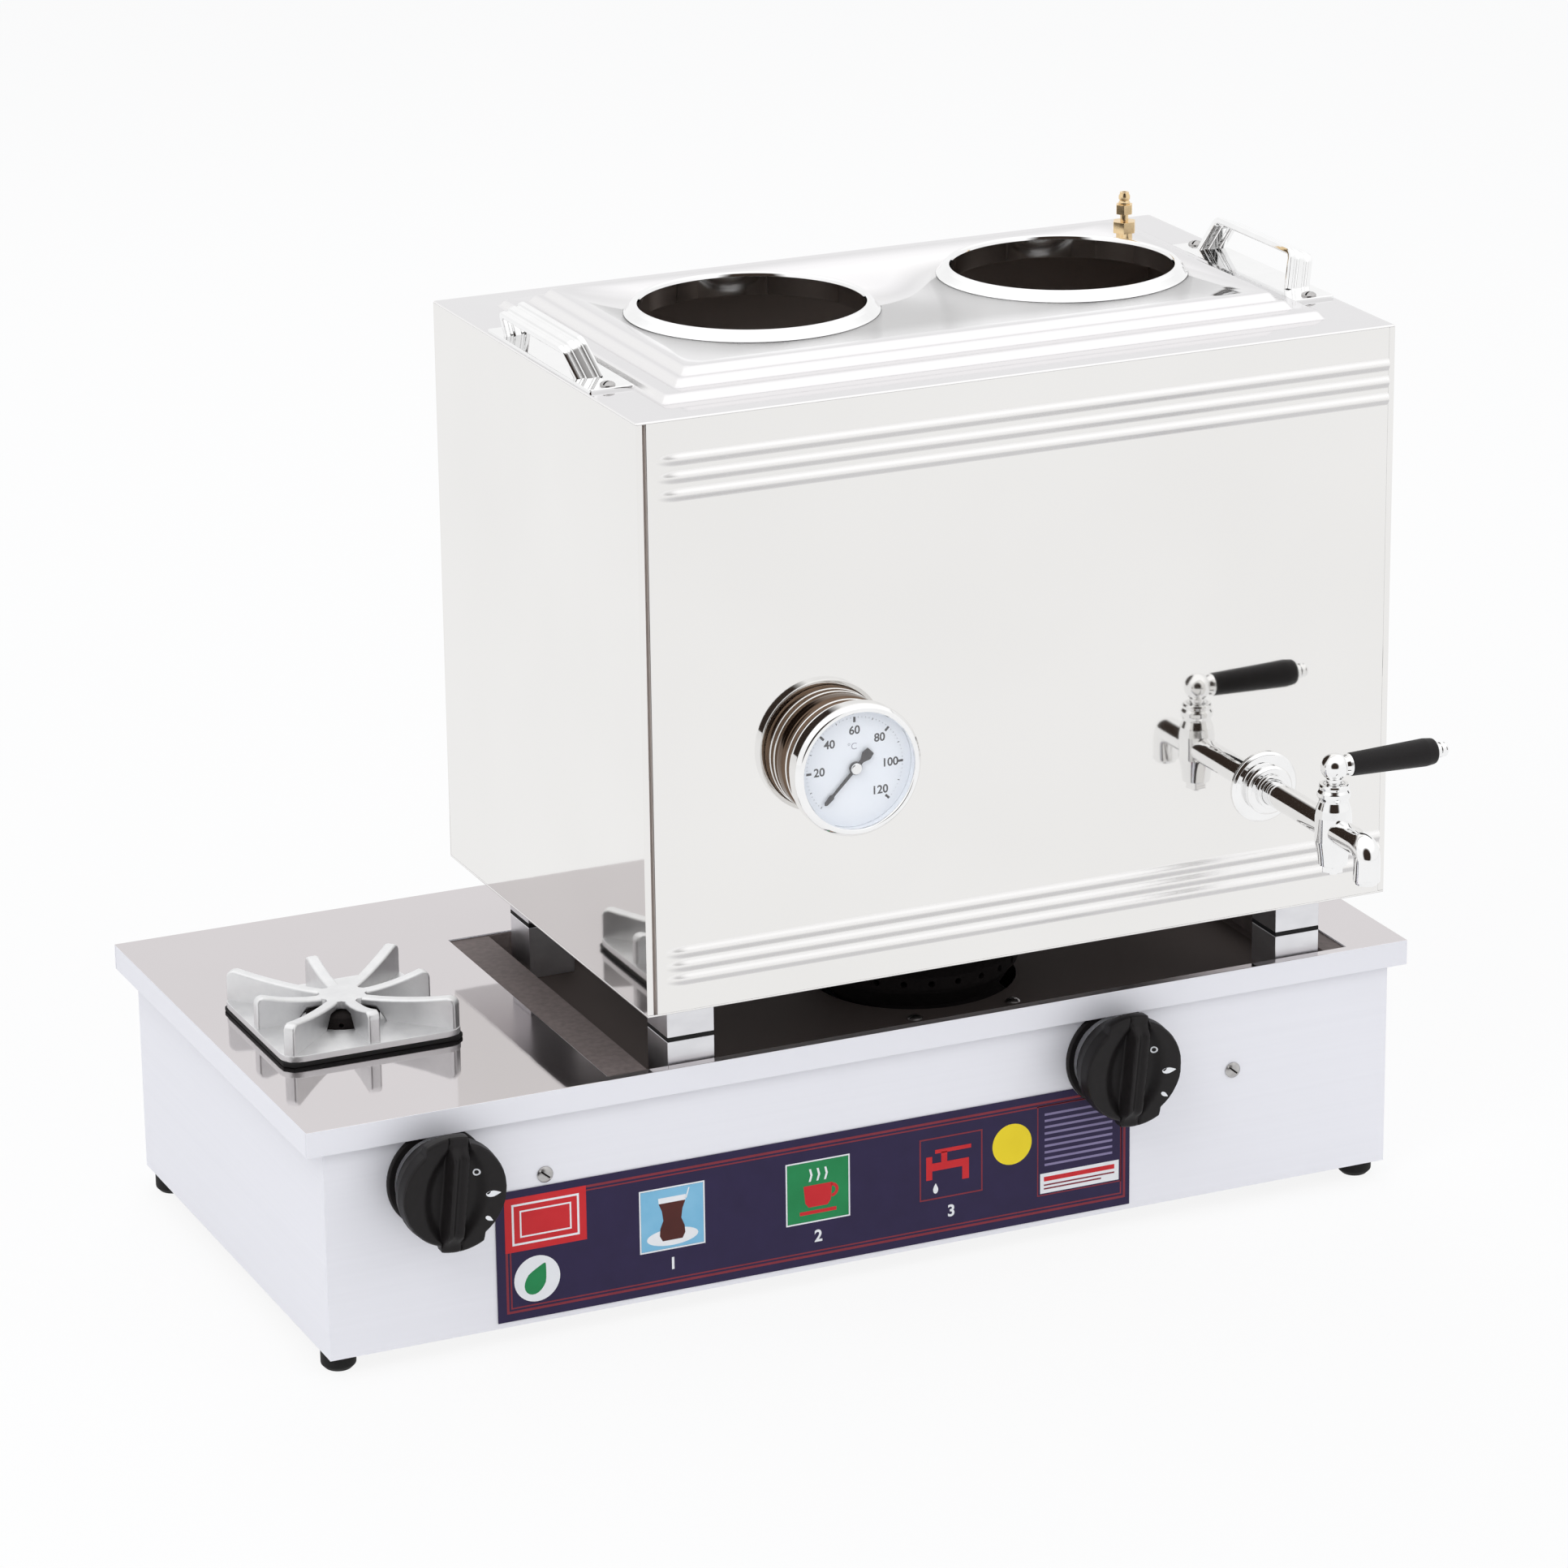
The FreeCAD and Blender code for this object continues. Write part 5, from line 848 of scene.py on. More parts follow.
def text_mesh(words, size, centre, bold=0.0):
    """Upright text facing the front, as a mesh centred on a point."""
    curve = bpy.data.curves.new("text", "FONT")
    curve.body = words
    curve.size = size * MM
    curve.extrude = INK_THICK * MM
    curve.offset = bold * MM
    curve.align_x = "CENTER"
    curve.align_y = "CENTER"
    holder = shown(bpy.data.objects.new("text", curve))
    mesh = made_by(holder)
    bpy.data.objects.remove(holder)
    mesh.transform(Matrix.Rotation(math.pi / 2, 4, "X"))
    mesh.transform(Matrix.Translation(Vector(centre) * MM))
    return mesh


def dial_angle(value):
    """Where a temperature stands on the dial, in degrees counter-clockwise from +X."""
    return 225 - DEGREES_EACH * value


centre_mm = Vector((DIAL[0], DIAL_FACE, DIAL[2])) * MM
dial_prints = []
for name, bar, count, start, step in (("long_marks", mark(27.4, 30.6, 1.4), 6, 20, 20),
                                      ("short_marks", mark(29.4, 30.6, 0.4), 13, 0, 10),
                                      ("fine_marks", mark(30.0, 30.6, 0.18), 61, 0, 2)):
    dial_prints.append(grown(name, ring_tree, bar, Material=dial_black, Count=count,
                             Centre=centre_mm, Axis=(0.0, -1.0, 0.0),
                             Start=math.radians(dial_angle(start)),
                             Step=math.radians(-DEGREES_EACH * step)))
for value in range(20, 121, 20):
    turn = math.radians(dial_angle(value))
    spot = (DIAL[0] + FIGURE_RADIUS * math.cos(turn), DIAL_FACE,
            DIAL[2] + FIGURE_RADIUS * math.sin(turn))
    dial_prints.append(text_mesh(str(value), 7.0, spot, bold=0.14))
settle("dial_print", dial_prints, [dial_black], "boiler", angle=30)
settle("dial_unit", text_mesh("°C", 5.6, (DIAL[0] - 1.5, DIAL_FACE, DIAL[2] + 12.8)), [dial_grey],
       "boiler", angle=30)

# %% [markdown]
# ### Pointer
# The pointer is a thin black blade, wider near the tip and at the tail, on a boss under
# a small bright cap. Its outline is written along and across the blade, then laid at
# the angle of the lowest reading, where it rests.

# %% Pointer
diagonal = math.radians(dial_angle(0))
along = Vector((math.cos(diagonal), math.sin(diagonal)))
aside = Vector((-along.y, along.x))
needle_half = [(28.0, 0.0), (27.0, 1.1), (21.5, 1.7), (20.5, 0.8), (3.0, 1.0), (-5.5, 1.2),
               (-9.5, 3.4), (-13.4, 2.6)]
needle = needle_half + [(a, -b) for a, b in needle_half[:0:-1]]
needle_outline = [tuple(Vector((DIAL[0], DIAL[2])) + along * a + aside * b) for a, b in needle]
blade = slab("blade", needle_outline, FRONT - 25.4, FRONT - 24.8, "Y")
boss = turned("boss", softened([(0, 3.0), (1.2, 3.0), (1.2, 24.1), (3.9, 24.1), (3.9, 25.8),
                                (3.2, 26.1), (0, 26.1)], 0.3, 2), DIAL, "-Y", 32)
settle("dial_pointer", [blade, boss], [dial_black], "pointer", ["thermometer_pointer"],
       angle=30)
cap = turned("cap", [(0, 25.9), (3.4, 25.9), (3.4, 26.5), (2.8, 27.0), (0, 27.1)], DIAL,
             "-Y", 32)
settle("pointer_cap", cap, [chrome], "pointer", angle=60)

# %% [markdown]
# ## Tap
# The tap is chromed: a pipe through a cover plate and a nut, an upright barrel that
# tapers to a small nut below, and a spout that turns down. The spout is the pipe's own
# section pushed round the bend.

# %% Tap body
TAP_X, PIPE_Z = 244.0, 283.0
TAP = (TAP_X, FRONT, PIPE_Z)
BARREL = (TAP_X, FRONT - 85.0, 0.0)
SPOUT_Y = FRONT - 125.0
pipe_line = softened([(FRONT + 18, PIPE_Z), (SPOUT_Y, PIPE_Z, 8.2), (SPOUT_Y, 263.5)], steps=10)
spout = swept("spout", pipe_line, circle(8), TAP_X)
lip = turned("lip", softened([(5.4, 261.5, 0.3), (6.5, 261.5, 0.5), (6.7, 262.6, 0.4),
                              (8, 263.8, 0.5), (8.0, 265), (6.2, 265)], steps=3),
             (TAP_X, SPOUT_Y, 0))
barrel = turned("barrel", softened([
    (6.5, 261), (8.5, 261, 0.8), (9.2, 267, 3), (10.3, 273, 3), (11, 276, 2), (11, 291, 3),
    (10.2, 296, 4), (8.4, 301, 2), (9.9, 303.5, 1.4), (9.9, 306, 1.4), (8.7, 308, 0.8),
    (9.2, 309.5, 0.8), (8.6, 311, 0.6), (6.5, 311)], steps=5), BARREL, "Z", 48)
spacer = turned("spacer", softened([(8, 10), (10.5, 10), (10.5, 13), (8, 13)], 0.6, 3), TAP, "-Y")
settle("tap_chromed", [spout, lip, barrel, spacer], [chrome], "boiler", ["tap_body"], angle=55)
cover_outline = softened([(8, 0), (22, 0, 0.3), (22, 1.2, 0.8), (20.4, 2.6, 1.2), (12, 3.2, 0.8),
                          (10.4, 4, 0.3), (8, 4)])
settle("tap_cover", turned("cover", cover_outline, TAP, "-Y", 64), [chrome], "boiler",
       ["tap_escutcheon"], angle=60)
nut_outline = softened([(8, 4), (13.2, 4, 0.6), (15.2, 5.4, 1.0), (15.2, 8.2, 1.2),
                        (13.6, 9.8, 1.0), (11, 10, 0.3), (8, 10)])
nuts = [turned("outer_nut", nut_outline, TAP, "-Y", 64),
        turned("inner_nut", [(8, -1.2), (15.5, -1.2), (15.5, -7.2), (8, -7.2)], TAP, "-Y", 6)]
settle("tap_nuts_round", nuts, [chrome], "boiler", ["tap_locknuts"], angle=50)

# %% [markdown]
# ### Tap handle
# A quarter turn of the lever turns the plug inside the barrel. On the plug sits a ball,
# and from the ball a chromed rod runs through a black moulded grip. All of them are
# turned parts, so each is one outline.

# %% Tap handle
plug = turned("plug", softened([(0, 255), (3, 255), (3, 261), (6.45, 261), (6.45, 311),
                                (4.5, 311.6), (4.5, 316), (0, 316)], 0.4, 2), BARREL, "Z", 32)
settle("tap_plug_turned", plug, [chrome], "tap_handle", ["tap_plug"], angle=40)
rounded("tap_plug_nut", 0.5, chrome)
BALL_Z, BALL_RADIUS, NECK_Z = 321.0, 8.25, 314.3
LEVER = (BARREL[0], BARREL[1], BALL_Z)
ball_line = [(BALL_RADIUS * math.sin(math.pi * i / 24),
              BALL_Z - BALL_RADIUS * math.cos(math.pi * i / 24)) for i in range(25)]
ball_line = [(0, 314.1), (4.9, 314.1)] + [p for p in ball_line if p[1] > NECK_Z]
ball_mesh = turned("ball", ball_line, BARREL, "Z", 48)
socket = turned("socket", softened([(0, 6.0), (5.4, 6.0), (6.3, 8), (6.7, 9.9), (3, 10),
                                    (3, 67), (5, 67), (5, 68.6), (4.1, 69.0), (4.1, 70.2),
                                    (4.6, 70.6), (4.6, 72.0), (4.0, 72.4), (4.0, 73.4),
                                    (4.3, 73.8), (3.4, 75), (0, 75)], 0.25, 2), LEVER, "X", 32)
settle("tap_lever_chromed", [ball_mesh, socket], [chrome], "tap_handle", ["tap_lever"],
       angle=60)
grip_outline = softened([(3, 10), (6.9, 10, 0.8), (8.4, 60, 5.0), (7.6, 67, 3.0), (3, 67)],
                        steps=6)
settle("tap_grip_moulded", turned("grip", grip_outline, LEVER, "X", 48), [moulding],
       "tap_handle", ["tap_grip"], angle=60)

# %% [markdown]
# ## Knobs
# A knob is a black moulding with a gripping ridge right across it: two thin ribs with
# a hollow between, and a scoop on each side for the fingers. A tab stands out at the
# top and the bottom. A mould shapes such a face freely, so it is written as a rule that
# gives a height for every point; the same rule later puts the white marks on it.

# %% The rule of a knob's face
KNOBS = {"main": 158.0, "side": -280.0}
KNOB_Z = 115.0
FACE_Y = -199.0
KNOB_RADIUS, TAB_RADIUS = 31.6, 35.4
EDGE_WIDTH, EDGE_DROP = 1.6, 1.2
RIDGE_LEAN, RIDGE_RISE, HOLLOW_DEPTH = 0.10, 6.0, 1.6
SCOOP_DEPTH, SCOOP_WIDTH, SCOOP_HALF = 3.6, 21.0, 29
TAB_NEAR, TAB_FAR = 9.0, 16.5


def smooth(value, low, high):
    """0 below low, 1 above high, and a smooth change between."""
    t = min(max((value - low) / (high - low), 0.0), 1.0)
    return t * t * (3 - 2 * t)


def face_height(x, z):
    """How far the face stands ahead of its plain level at one point."""
    run = 1 - smooth(abs(z), 23, 31)
    side = abs(x - RIDGE_LEAN * z)
    ridge = (1 - smooth(side, 4.4, 6.2)) * RIDGE_RISE * run
    ridge -= (1 - smooth(side, 0.8, 2.6)) * HOLLOW_DEPTH * run
    bay = SCOOP_WIDTH * math.sqrt(max(1 - (z / SCOOP_HALF) ** 2, 0.0))
    scoop = smooth(side, 5.0, 7.0) * (1 - smooth(side, max(bay - 8, 5.5), max(bay, 7.0)))
    return ridge - SCOOP_DEPTH * scoop


def knob_outline(fraction, body_radius, tab_radius, upper):
    """Half the height of the knob at a share of its width, above or below its middle."""
    plain = body_radius * math.sqrt(max(1 - fraction * fraction, 0))
    x = fraction * body_radius
    tab = math.sqrt(max(tab_radius ** 2 - x * x, 0))
    end = TAB_FAR if (x < 0) == upper else TAB_NEAR
    share = 1 - smooth(abs(x), end, end + 1.2)
    return plain + max(tab - plain, 0) * share


# %% [markdown]
# ### From the rule to a solid
# The face is a grid whose columns lie close together where the ridge runs. From its
# border, rings of points go back along the side of the knob, each with its own radius,
# and one flat face closes the back.

# %% The knob's mesh
def knob_mesh(x_middle):
    """The moulding: face grid, side rings and a closed back."""
    coarse = [-1, -0.985, -0.95, -0.9, -0.82, -0.74, -0.66, -0.61, -0.57, -0.553, -0.536, -0.52,
              -0.50, -0.47, -0.44, -0.41, -0.38]
    fine = [-0.345, -0.33, -0.315, -0.30, -0.285, -0.26, -0.23, -0.21, -0.195, -0.18, -0.165,
            -0.15, -0.135, -0.11, -0.085, -0.06, -0.03]
    stops = coarse + fine + [0] + [-v for v in (coarse + fine)[::-1]]
    rows = [math.sin(math.pi / 2 * (i / 22)) for i in range(-22, 23)]
    points = []
    for fraction in stops:
        for row in rows:
            tall = knob_outline(fraction, KNOB_RADIUS, TAB_RADIUS, row > 0)
            x, z = fraction * KNOB_RADIUS, tall * row
            inward = min((1 - abs(row)) * tall, (1 - abs(fraction)) * KNOB_RADIUS)
            edge = 1.0 - min(1.0, inward / EDGE_WIDTH)
            rise = face_height(x, z) - EDGE_DROP * edge * edge
            points.append((x_middle + x, FACE_Y - rise, KNOB_Z + z))
    wide, deep = len(stops), len(rows)
    faces = [(c * deep + r, (c + 1) * deep + r, (c + 1) * deep + r + 1, c * deep + r + 1)
             for c in range(wide - 1) for r in range(deep - 1)]
    border = [(c, deep - 1) for c in range(wide)] + [(c, 0) for c in range(wide - 2, 0, -1)]
    ring = [c * deep + r for c, r in border]
    size = len(ring)
    profile = [(-197.4, 31.9, 35.5), (-195, 32.0, 35.5), (-191.4, 32.2, 35.4),
               (-190.5, 32.4, 34.6), (-189.6, 32.4, 32.6), (-183, 31.0, 31.0),
               (-180.2, 29.6, 29.6), (-179.2, 29.2, 29.2), (-177.3, 28.6, 28.6),
               (-176.8, 26.6, 26.6), (-174.5, 26.0, 26.0)]
    for y, body_radius, tab_radius in profile:
        after = list(range(len(points), len(points) + size))
        for c, r in border:
            tall = knob_outline(stops[c], body_radius, tab_radius, r > 0)
            z = tall if r else -tall
            points.append((x_middle + stops[c] * body_radius, y, KNOB_Z + z))
        faces += [(ring[i], ring[(i + 1) % size], after[(i + 1) % size], after[i])
                  for i in range(size)]
        ring = after
    faces.append(tuple(ring))
    return clean(mesh_of("knob", points, faces))


# %% [markdown]
# ### White marks on the knobs
# Each knob shows a small ring for off, and a large and a small flame. The marks are thin
# patches whose points take their height from the rule of the face, so they lie on it
# however it curves.

# %% White marks on the knob
def on_face(x_middle, outline):
    """A thin printed patch that lies on the knob's face."""
    front, sunk = ([(x_middle + x, FACE_Y - face_height(x, z) + depth, KNOB_Z + z)
                    for x, z in outline] for depth in (-0.08, 0.2))
    return between("patch", front, sunk)


def drop(x, z, length, width, turn):
    """A flame-like drop whose point looks along a direction."""
    c, s = math.cos(turn), math.sin(turn)
    outline = []
    for u, v in circle(1, 24):
        slim = (1 - 0.55 * max(u, 0) ** 1.2) * (1 - 0.35 * (u + 1) / 2)
        a, b = length / 2 * u, width / 2 * v * slim
        outline.append((x + a * c - b * s, z + a * s + b * c))
    return outline


def ring_patch(x_middle, x, z, outer, inner):
    """A small printed circle, made of sixteen flat wedges."""
    far, near = ([(x + u, z + v) for u, v in circle(radius, 16)] for radius in (outer, inner))
    return [on_face(x_middle, [near[i], far[i], far[(i + 1) % 16], near[(i + 1) % 16]])
            for i in range(16)]


for side, x_middle in KNOBS.items():
    settle(f"{side}_knob_moulded", knob_mesh(x_middle), [moulding], f"{side}_knob_set",
           [f"{side}_knob"], angle=70)
    marks = ring_patch(x_middle, 14.1, 11.0, 2.2, 1.3)
    marks.append(on_face(x_middle, drop(23.1, -2.7, 9.0, 4.4, 0.0)))
    marks.append(on_face(x_middle, drop(20.0, -17.8, 5.4, 2.9, math.radians(-35))))
    settle(f"{side}_knob_marks", marks, [inks["white"]], f"{side}_knob_set",
           angle=30)
bezels = [turned("ring", softened([(26.6, 0), (31, 0), (31, 2.2), (30.2, 3), (26.6, 3)],
                                  0.6, 3), (x, CASING_FRONT, KNOB_Z), "-Y", 64)
          for x in KNOBS.values()]
settle("knob_rings_moulded", bezels, [moulding], "stove", ["knob_bezels"], angle=50)

# %% [markdown]
# ## Stove: sheets, legs and feet
# The lid is polished and the casing is satin. Their CAD shapes are right, so copies get
# rounded edges. The feet are turned from a soft-cornered outline. The gas parts inside
# keep their CAD meshes.

# %% Sheets, posts and feet
rounded("base_lid", 0.45, lid_steel)
for node in ("base_front_panel", "base_back_panel", "base_side_panels"):
    rounded(node, 0.4, satin)
for node in ("boiler_legs", "well_posts"):
    rounded(node, 0.5, leg_steel)
rounded("well_tray", 0.4, galvanised)
rounded("post_pads", 0.3, rubber)
foot = turned("foot", softened([(0, 4), (5, 4, 0.3), (5, 0, 0.5), (7.6, 0, 1.6), (10.5, 3.0, 2.4),
                                (10.5, 12, 0.3), (0, 12)]), (0, 0, 0), "Z", 40)
foot_spots = [(x, y, 0) for x in (-338, 338) for y in (-150.5, 146.5)]
feet = grown("rubber_feet_soft", spread_tree, foot, foot_spots, Material=rubber)
settle("rubber_feet_soft", feet, [rubber], "stove", ["rubber_feet"], angle=50)
for node, material in {
        "base_bottom_plate": galvanised, "foot_screws": zinc, "manifold_pipe": galvanised,
        "inlet_pipe": galvanised, "hose_nipple": brass, "main_valve_body": brass,
        "side_valve_body": brass, "main_valve_plug": brass, "side_valve_plug": brass,
        "main_valve_stem": brass, "side_valve_stem": brass, "gas_injectors": brass,
        "main_feed_pipe": brass, "main_valve_spring": zinc, "side_valve_spring": zinc,
        "side_burner_bowl": aluminium, "main_burner_bowl": iron}.items():
    dress(node, material)
rounded("main_burner_cap", 0.6, iron)
rounded("side_burner_head", 0.5, iron)
rounded("grate_gasket", 0.8, rubber)

# %% [markdown]
# ## Side burner grate
# The grate is one rough aluminium casting: a square plate, a hub with eight arms, and
# eight fins that rise to the outside. Four fins reach the sides and four the corners,
# so a ring of four is made twice, with its own length each time.

# %% The grate's fins
GRATE = (-280.0, -18.0)
PLATE_LEVEL = 158.0


def fin(reach):
    """One fin along +X with a hollow top line and round outer corners, over the gasket."""
    top_line = [(13 + (reach - 18) * i / 8, 19.5 + 6.5 * (i / 8) ** 1.8) for i in range(9)]
    outline = top_line + [(reach - 1.6, 25.2), (reach, 22.5), (reach, 5.0), (31, 5.0),
                          (23.5, 14.5), (13, 14.5)]
    return slab("fin", outline, -3.8, 3.8, "Y")


def with_bevel(mesh, width, steps=2):
    """Applies rounded edges to a part before it is repeated."""
    part = shown(bpy.data.objects.new("part", mesh))
    soften_edges(part, width, steps, 30)
    result = made_by(part)
    bpy.data.objects.remove(part)
    return result


grate_parts = []
for name, reach, start in (("side_fins", 55.0, 0.0), ("corner_fins", 74.9, math.pi / 4)):
    grate_parts.append(grown(name, ring_tree, with_bevel(fin(reach), 2.2, 3), Material=aluminium,
                             Count=4, Centre=Vector((*GRATE, PLATE_LEVEL)) * MM,
                             Axis=(0.0, 0.0, 1.0), Start=start, Step=math.pi / 2))

# %% The grate's plate and hub
PLATE_TOP, PLATE_DEPTH = 165, 4
plate_mesh = bpy.data.meshes.new("grate_plate")
plate_loops = [[(x + GRATE[0], y + GRATE[1], PLATE_TOP) for x, y in loop]
               for loop in (softened(oblong(-56.5, 56.5, -56.5, 56.5), 12, 6), circle(28, 48))]
with editing(plate_mesh) as plate:
    filled(plate, plate_loops)
    shell = bmesh.ops.extrude_face_region(plate, geom=plate.faces[:])
    lower = [v for v in shell["geom"] if isinstance(v, bmesh.types.BMVert)]
    bmesh.ops.translate(plate, verts=lower, vec=Vector((0, 0, -PLATE_DEPTH)) * MM)
    bmesh.ops.recalc_face_normals(plate, faces=plate.faces)
grate_parts.append(with_bevel(plate_mesh, 1.0))
star = [(u * share, v * share) for (u, v), share in zip(circle(18, 16), [1.0, 0.74] * 8)]
hub = slab("hub", softened(star, 1.5, 3), 172.5, 177.5)
grate_parts.append(shifted(with_bevel(hub, 0.8), GRATE[0], GRATE[1]))
settle("grate_cast", grate_parts, [aluminium], "grate", ["side_grate"], angle=40)

# %% [markdown]
# ## Label
# The plate between and below the knobs is printed in navy with dark red lines. Its
# pictures are plain signs drawn for this lesson: a glass of tea, a cup and a tap, with
# a number under each. Every patch of ink is a thin sheet on the plate, all of one ink
# joined, so the print needs no picture file and stays sharp.

# %% Label plate and inks
rounded("label_plate", 0.15, inks["navy"])
PLATE_Y = -168.3
PRINT_X, PRINT_Z = -2.9, 2.6
sheets = {name: [] for name in inks}


def ink(name, outline, layer=1):
    """Lays one patch of ink on the plate; a higher layer covers a lower one."""
    level = PLATE_Y - 0.03 * layer
    placed = [(x + PRINT_X, z + PRINT_Z) for x, z in outline]
    sheets[name].append(slab("ink", placed, level, level + 0.02, "Y"))


def bar(name, left, right_edge, low, high, layer=1):
    """A rectangle of ink."""
    ink(name, oblong(left, right_edge, low, high), layer)


def frame_lines(name, left, right_edge, low, high, width, layer=1):
    """Four thin bars round a rectangle."""
    for box in ((left, right_edge, low, low + width), (left, right_edge, high - width, high),
                (left, left + width, low + width, high - width),
                (right_edge - width, right_edge, low + width, high - width)):
        bar(name, *box, layer)


def mirrored(half, middle):
    """A closed outline from its right half."""
    return [(middle + x, z) for x, z in half] + [(middle - x, z) for x, z in half[::-1]]


def disc(name, x, z, radius, layer=1):
    """A round patch of ink."""
    ink(name, [(x + u, z + v) for u, v in circle(radius, 40)], layer)


# %% Border, sign at the left, and tiles
frame_lines("dark_red", -236, 170.5, 18, 90.5, 1.5)
frame_lines("dark_red", -233.3, 167.8, 20.7, 87.8, 0.9)
bar("red", -236, -184.5, 56.5, 90.5, 2)
frame_lines("white", -231.5, -189, 60.5, 86.5, 1.3, 3)
frame_lines("white", -226.5, -194, 65, 82, 1.0, 3)
disc("white", -216.5, 37.5, 14.5, 2)
ink("green", drop(-216.5, 37.5, 21, 15, math.radians(60)), 3)
for left in (-151.0, -56.5, 31.6):
    frame_lines("dark_red" if left > 0 else "white", left, left + 42, 40, 80, 0.9, 2)
bar("sky", -150, -110, 41, 79, 2)
bar("green", -55.5, -15.5, 41, 79, 2)

# %% A glass of tea on its saucer
GLASS_X, CUP_X, TAP_SIGN_X = -130, -35.5, 52.6
glass_half = [(0, 46), (6.4, 46), (8.2, 49.5), (7.8, 54), (5.8, 59), (6.6, 65), (8.6, 70)]
ink("tea", mirrored(glass_half, GLASS_X), 4)
ink("white", [(GLASS_X + x, z) for x, z in ((-8.6, 70), (8.6, 70), (8.9, 73.5), (-8.9, 73.5))], 4)
ink("white", [(GLASS_X + 16.5 * u, 48 + 5.4 * v) for u, v in circle(1)], 3)
ink("white", [(-121.6, 71), (-120.6, 71), (-118.6, 77.5), (-119.4, 77.5)], 4)

# %% A steaming cup
ink("red", mirrored([(0, 50), (6.2, 50), (8.4, 53), (9.4, 64)], CUP_X), 3)
bar("red", -47.5, -23.5, 45.5, 47.8, 3)
for i in range(10):
    a, b = (math.pi * (end / 10) - math.pi / 2 for end in (i, i + 1))
    ink("red", [(-26.6 + r * math.cos(t), 59 + r * math.sin(t))
                for r, t in ((2.6, a), (4.6, a), (4.6, b), (2.6, b))], 3)
for left in (-41.5, -36.5, -31.5):
    ink("white", [(left, 66.5), (left + 1.3, 66.5), (left + 2.6, 70.5), (left + 1.6, 74.5),
                  (left + 0.3, 74.5), (left + 1.2, 70.5)], 3)

# %% A tap, the numbers and the right end
for box in ((36, 40, 53, 68), (40, 60, 58.5, 63.5), (46, 50, 63.5, 70), (42, 66, 69.5, 72),
            (60, 64.5, 50, 63.5)):
    bar("red", *box, 3)
ink("white", drop(42.2, 47.0, 6.5, 4.0, math.pi / 2), 4)
for number, x in (("1", GLASS_X), ("2", CUP_X), ("3", TAP_SIGN_X)):
    spot = (x + PRINT_X, PLATE_Y - 0.04, 30.5 + PRINT_Z)
    sheets["white"].append(text_mesh(number, 10.5, spot, bold=0.25))
disc("yellow", 93.5, 66.5, 13.2, 2)
frame_lines("dark_red", 110.5, 168, 29, 88, 0.7, 1)
bar("white", 112.5, 166, 30.5, 43.5, 2)
bar("red", 115, 163, 38.2, 41.2, 3)

# %% [markdown]
# ### Small print
# The small print at the right end is made as plain lines: one line, set on nine points
# by the spread tree. From a distance lines look like print, and they say nothing.

# %% Lines of small print
short_line = slab("line", oblong(0, 46, 0, 1.5), -0.03, 0.0, "Y")
line_spots = [(115.5 + PRINT_X, PLATE_Y - 0.02, 81 + PRINT_Z - 4.1 * i) for i in range(9)]
sheets["lilac"].append(grown("print_lines", spread_tree, short_line, line_spots,
                             Material=inks["lilac"]))
for i in range(2):
    bar("dark_red", 115, 163 - 9 * i, 35.3 - 2.4 * i, 36.3 - 2.4 * i, 3)
for name, patches in sheets.items():
    if patches:
        settle(f"label_{name}", patches, [inks[name]], "stove", angle=30)

# %% [markdown]
# ## Room and light
# Polished steel shows the room, so the room matters as much as the metal. To the camera
# and to mirrors the floor is mostly a white glow, with some matt paint left in it for a
# soft shadow; every other ray meets plain matt paint.

# %% Floor
FLOOR_TONE, FLOOR_GLOW, FLOOR_HALF = 0.95, 0.88, 40
floor_material = bpy.data.materials.new("floor")
floor_material.use_nodes = True
tree = floor_material.node_tree
matt = tree.nodes["Principled BSDF"]
feed(tree, matt, {"Base Color": (FLOOR_TONE, FLOOR_TONE, FLOOR_TONE, 1), "Roughness": 0.9})
glow = add(tree, "ShaderNodeEmission", {"Strength": 1.0})
rays = add(tree, "ShaderNodeLightPath", {}).outputs
seen = calc(tree, "MAXIMUM", rays["Is Camera Ray"], rays["Is Glossy Ray"])
mix = add(tree, "ShaderNodeMixShader", {
    "Fac": calc(tree, "MULTIPLY", seen, FLOOR_GLOW), 1: matt.outputs["BSDF"],
    2: glow.outputs["Emission"]})
feed(tree, tree.nodes["Material Output"], {"Surface": mix.outputs["Shader"]})
floor_mesh = bpy.data.meshes.new("floor")
floor_mesh.from_pydata(
    [(x, y, 0) for x, y in oblong(-FLOOR_HALF, FLOOR_HALF, -FLOOR_HALF, FLOOR_HALF)], [],
    [(0, 1, 2, 3)])
floor_mesh.materials.append(floor_material)
floor = shown(bpy.data.objects.new("floor", floor_mesh))
print(f"floor: {2 * FLOOR_HALF} m wide")

# %% [markdown]
# ### World
# The room is white all round and brighter overhead, with one dark wall far behind the
# camera: that wall is the dark band in the tap and in the side of the thermometer. Matt
# surfaces get a greyer light, and the camera itself sees plain white.

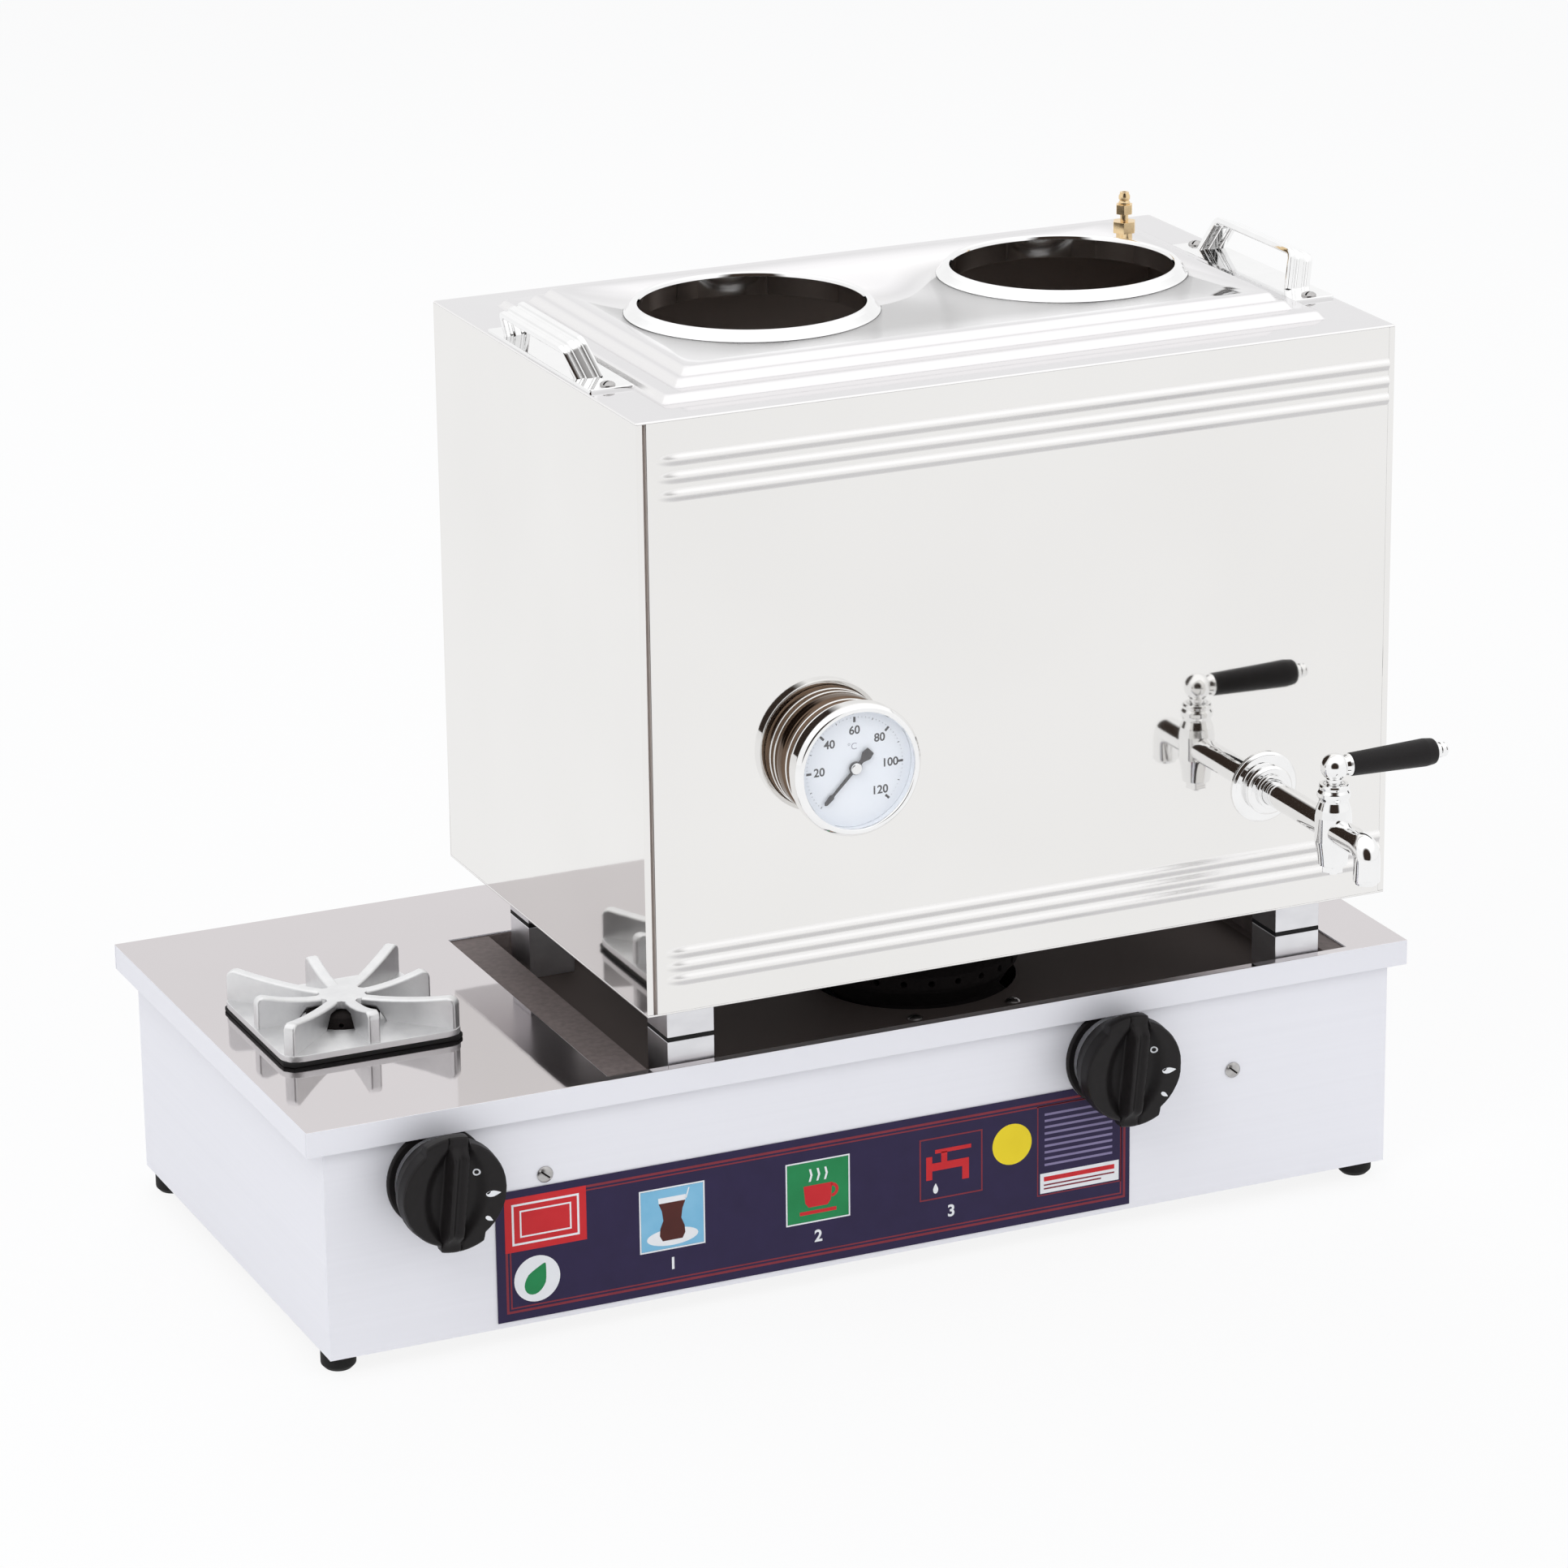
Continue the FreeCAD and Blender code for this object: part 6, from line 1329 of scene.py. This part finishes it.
# %% World
DARK_WALL = (-0.387, -0.864, 0.323)
DARK_WALL_EDGE = {0.80: (1, 1, 1, 1), 0.90: (0.035, 0.025, 0.02, 1)}
MATT_LIGHT = (0.62, 0.63, 0.66, 1)
world = bpy.data.worlds.new("studio")
world.use_nodes = True
bpy.context.scene.world = world
tree = world.node_tree
direction = add(tree, "ShaderNodeTexCoord", {}).outputs["Generated"]
facing = calc(tree, "DOT_PRODUCT", direction, DARK_WALL, kind="VectorMath", result="Value")
wall = add(tree, "ShaderNodeValToRGB", {"Fac": facing})
for element, (position, colour) in zip(wall.color_ramp.elements, DARK_WALL_EDGE.items()):
    element.position = position
    element.color = colour
height = add(tree, "ShaderNodeSeparateXYZ", {"Vector": direction})
overhead = add(tree, "ShaderNodeMapRange", {
    "Value": height.outputs["Z"], "From Min": 0.35, "From Max": 0.75, "To Min": 1.0,
    "To Max": 1.25})
lifted = add(tree, "ShaderNodeVectorMath", {
    0: wall.outputs["Color"], "Scale": overhead.outputs["Result"]}, operation="SCALE")
rays = add(tree, "ShaderNodeLightPath", {}).outputs
mirror = calc(tree, "MAXIMUM", rays["Is Glossy Ray"], rays["Is Transmission Ray"])
soft = add(tree, "ShaderNodeMix", {
    0: mirror, 6: MATT_LIGHT, 7: lifted.outputs["Vector"]}, data_type="RGBA")
seen = add(tree, "ShaderNodeMix", {
    0: rays["Is Camera Ray"], 6: soft.outputs[2], 7: (1, 1, 1, 1)}, data_type="RGBA")
feed(tree, tree.nodes["Background"], {"Color": seen.outputs[2], "Strength": 1.0})
print("dark wall towards", DARK_WALL)

# %% [markdown]
# ### Lamps
# Three large lamps give the matt surfaces their shape. Mirrors do not see them, because
# the outline of a lamp would show in the polished steel.

# %% Lamps
LAMPS = {
    "key": ((-1.8, -1.6, 2.4), 1.6, 28),
    "fill": ((2.2, -2.0, 1.6), 1.8, 14),
    "rim": ((0.6, 2.2, 2.2), 1.6, 14),
}
for name, (place, size, watts) in LAMPS.items():
    lamp = bpy.data.lights.new(name, "AREA")
    lamp.size = size
    lamp.energy = watts
    holder = shown(bpy.data.objects.new(name, lamp))
    holder.location = place
    aim = Vector((0, 0, 0.3)) - Vector(place)
    holder.rotation_euler = aim.to_track_quat("-Z", "Y").to_euler()
    holder.visible_glossy = False
    print(f"{name} lamp: {watts} W, {size} m wide")

# %% [markdown]
# ## Colour view
# The colours are shown plainly.

# %% Finish
bpy.context.scene.view_settings.view_transform = "Standard"
bpy.context.view_layer.update()
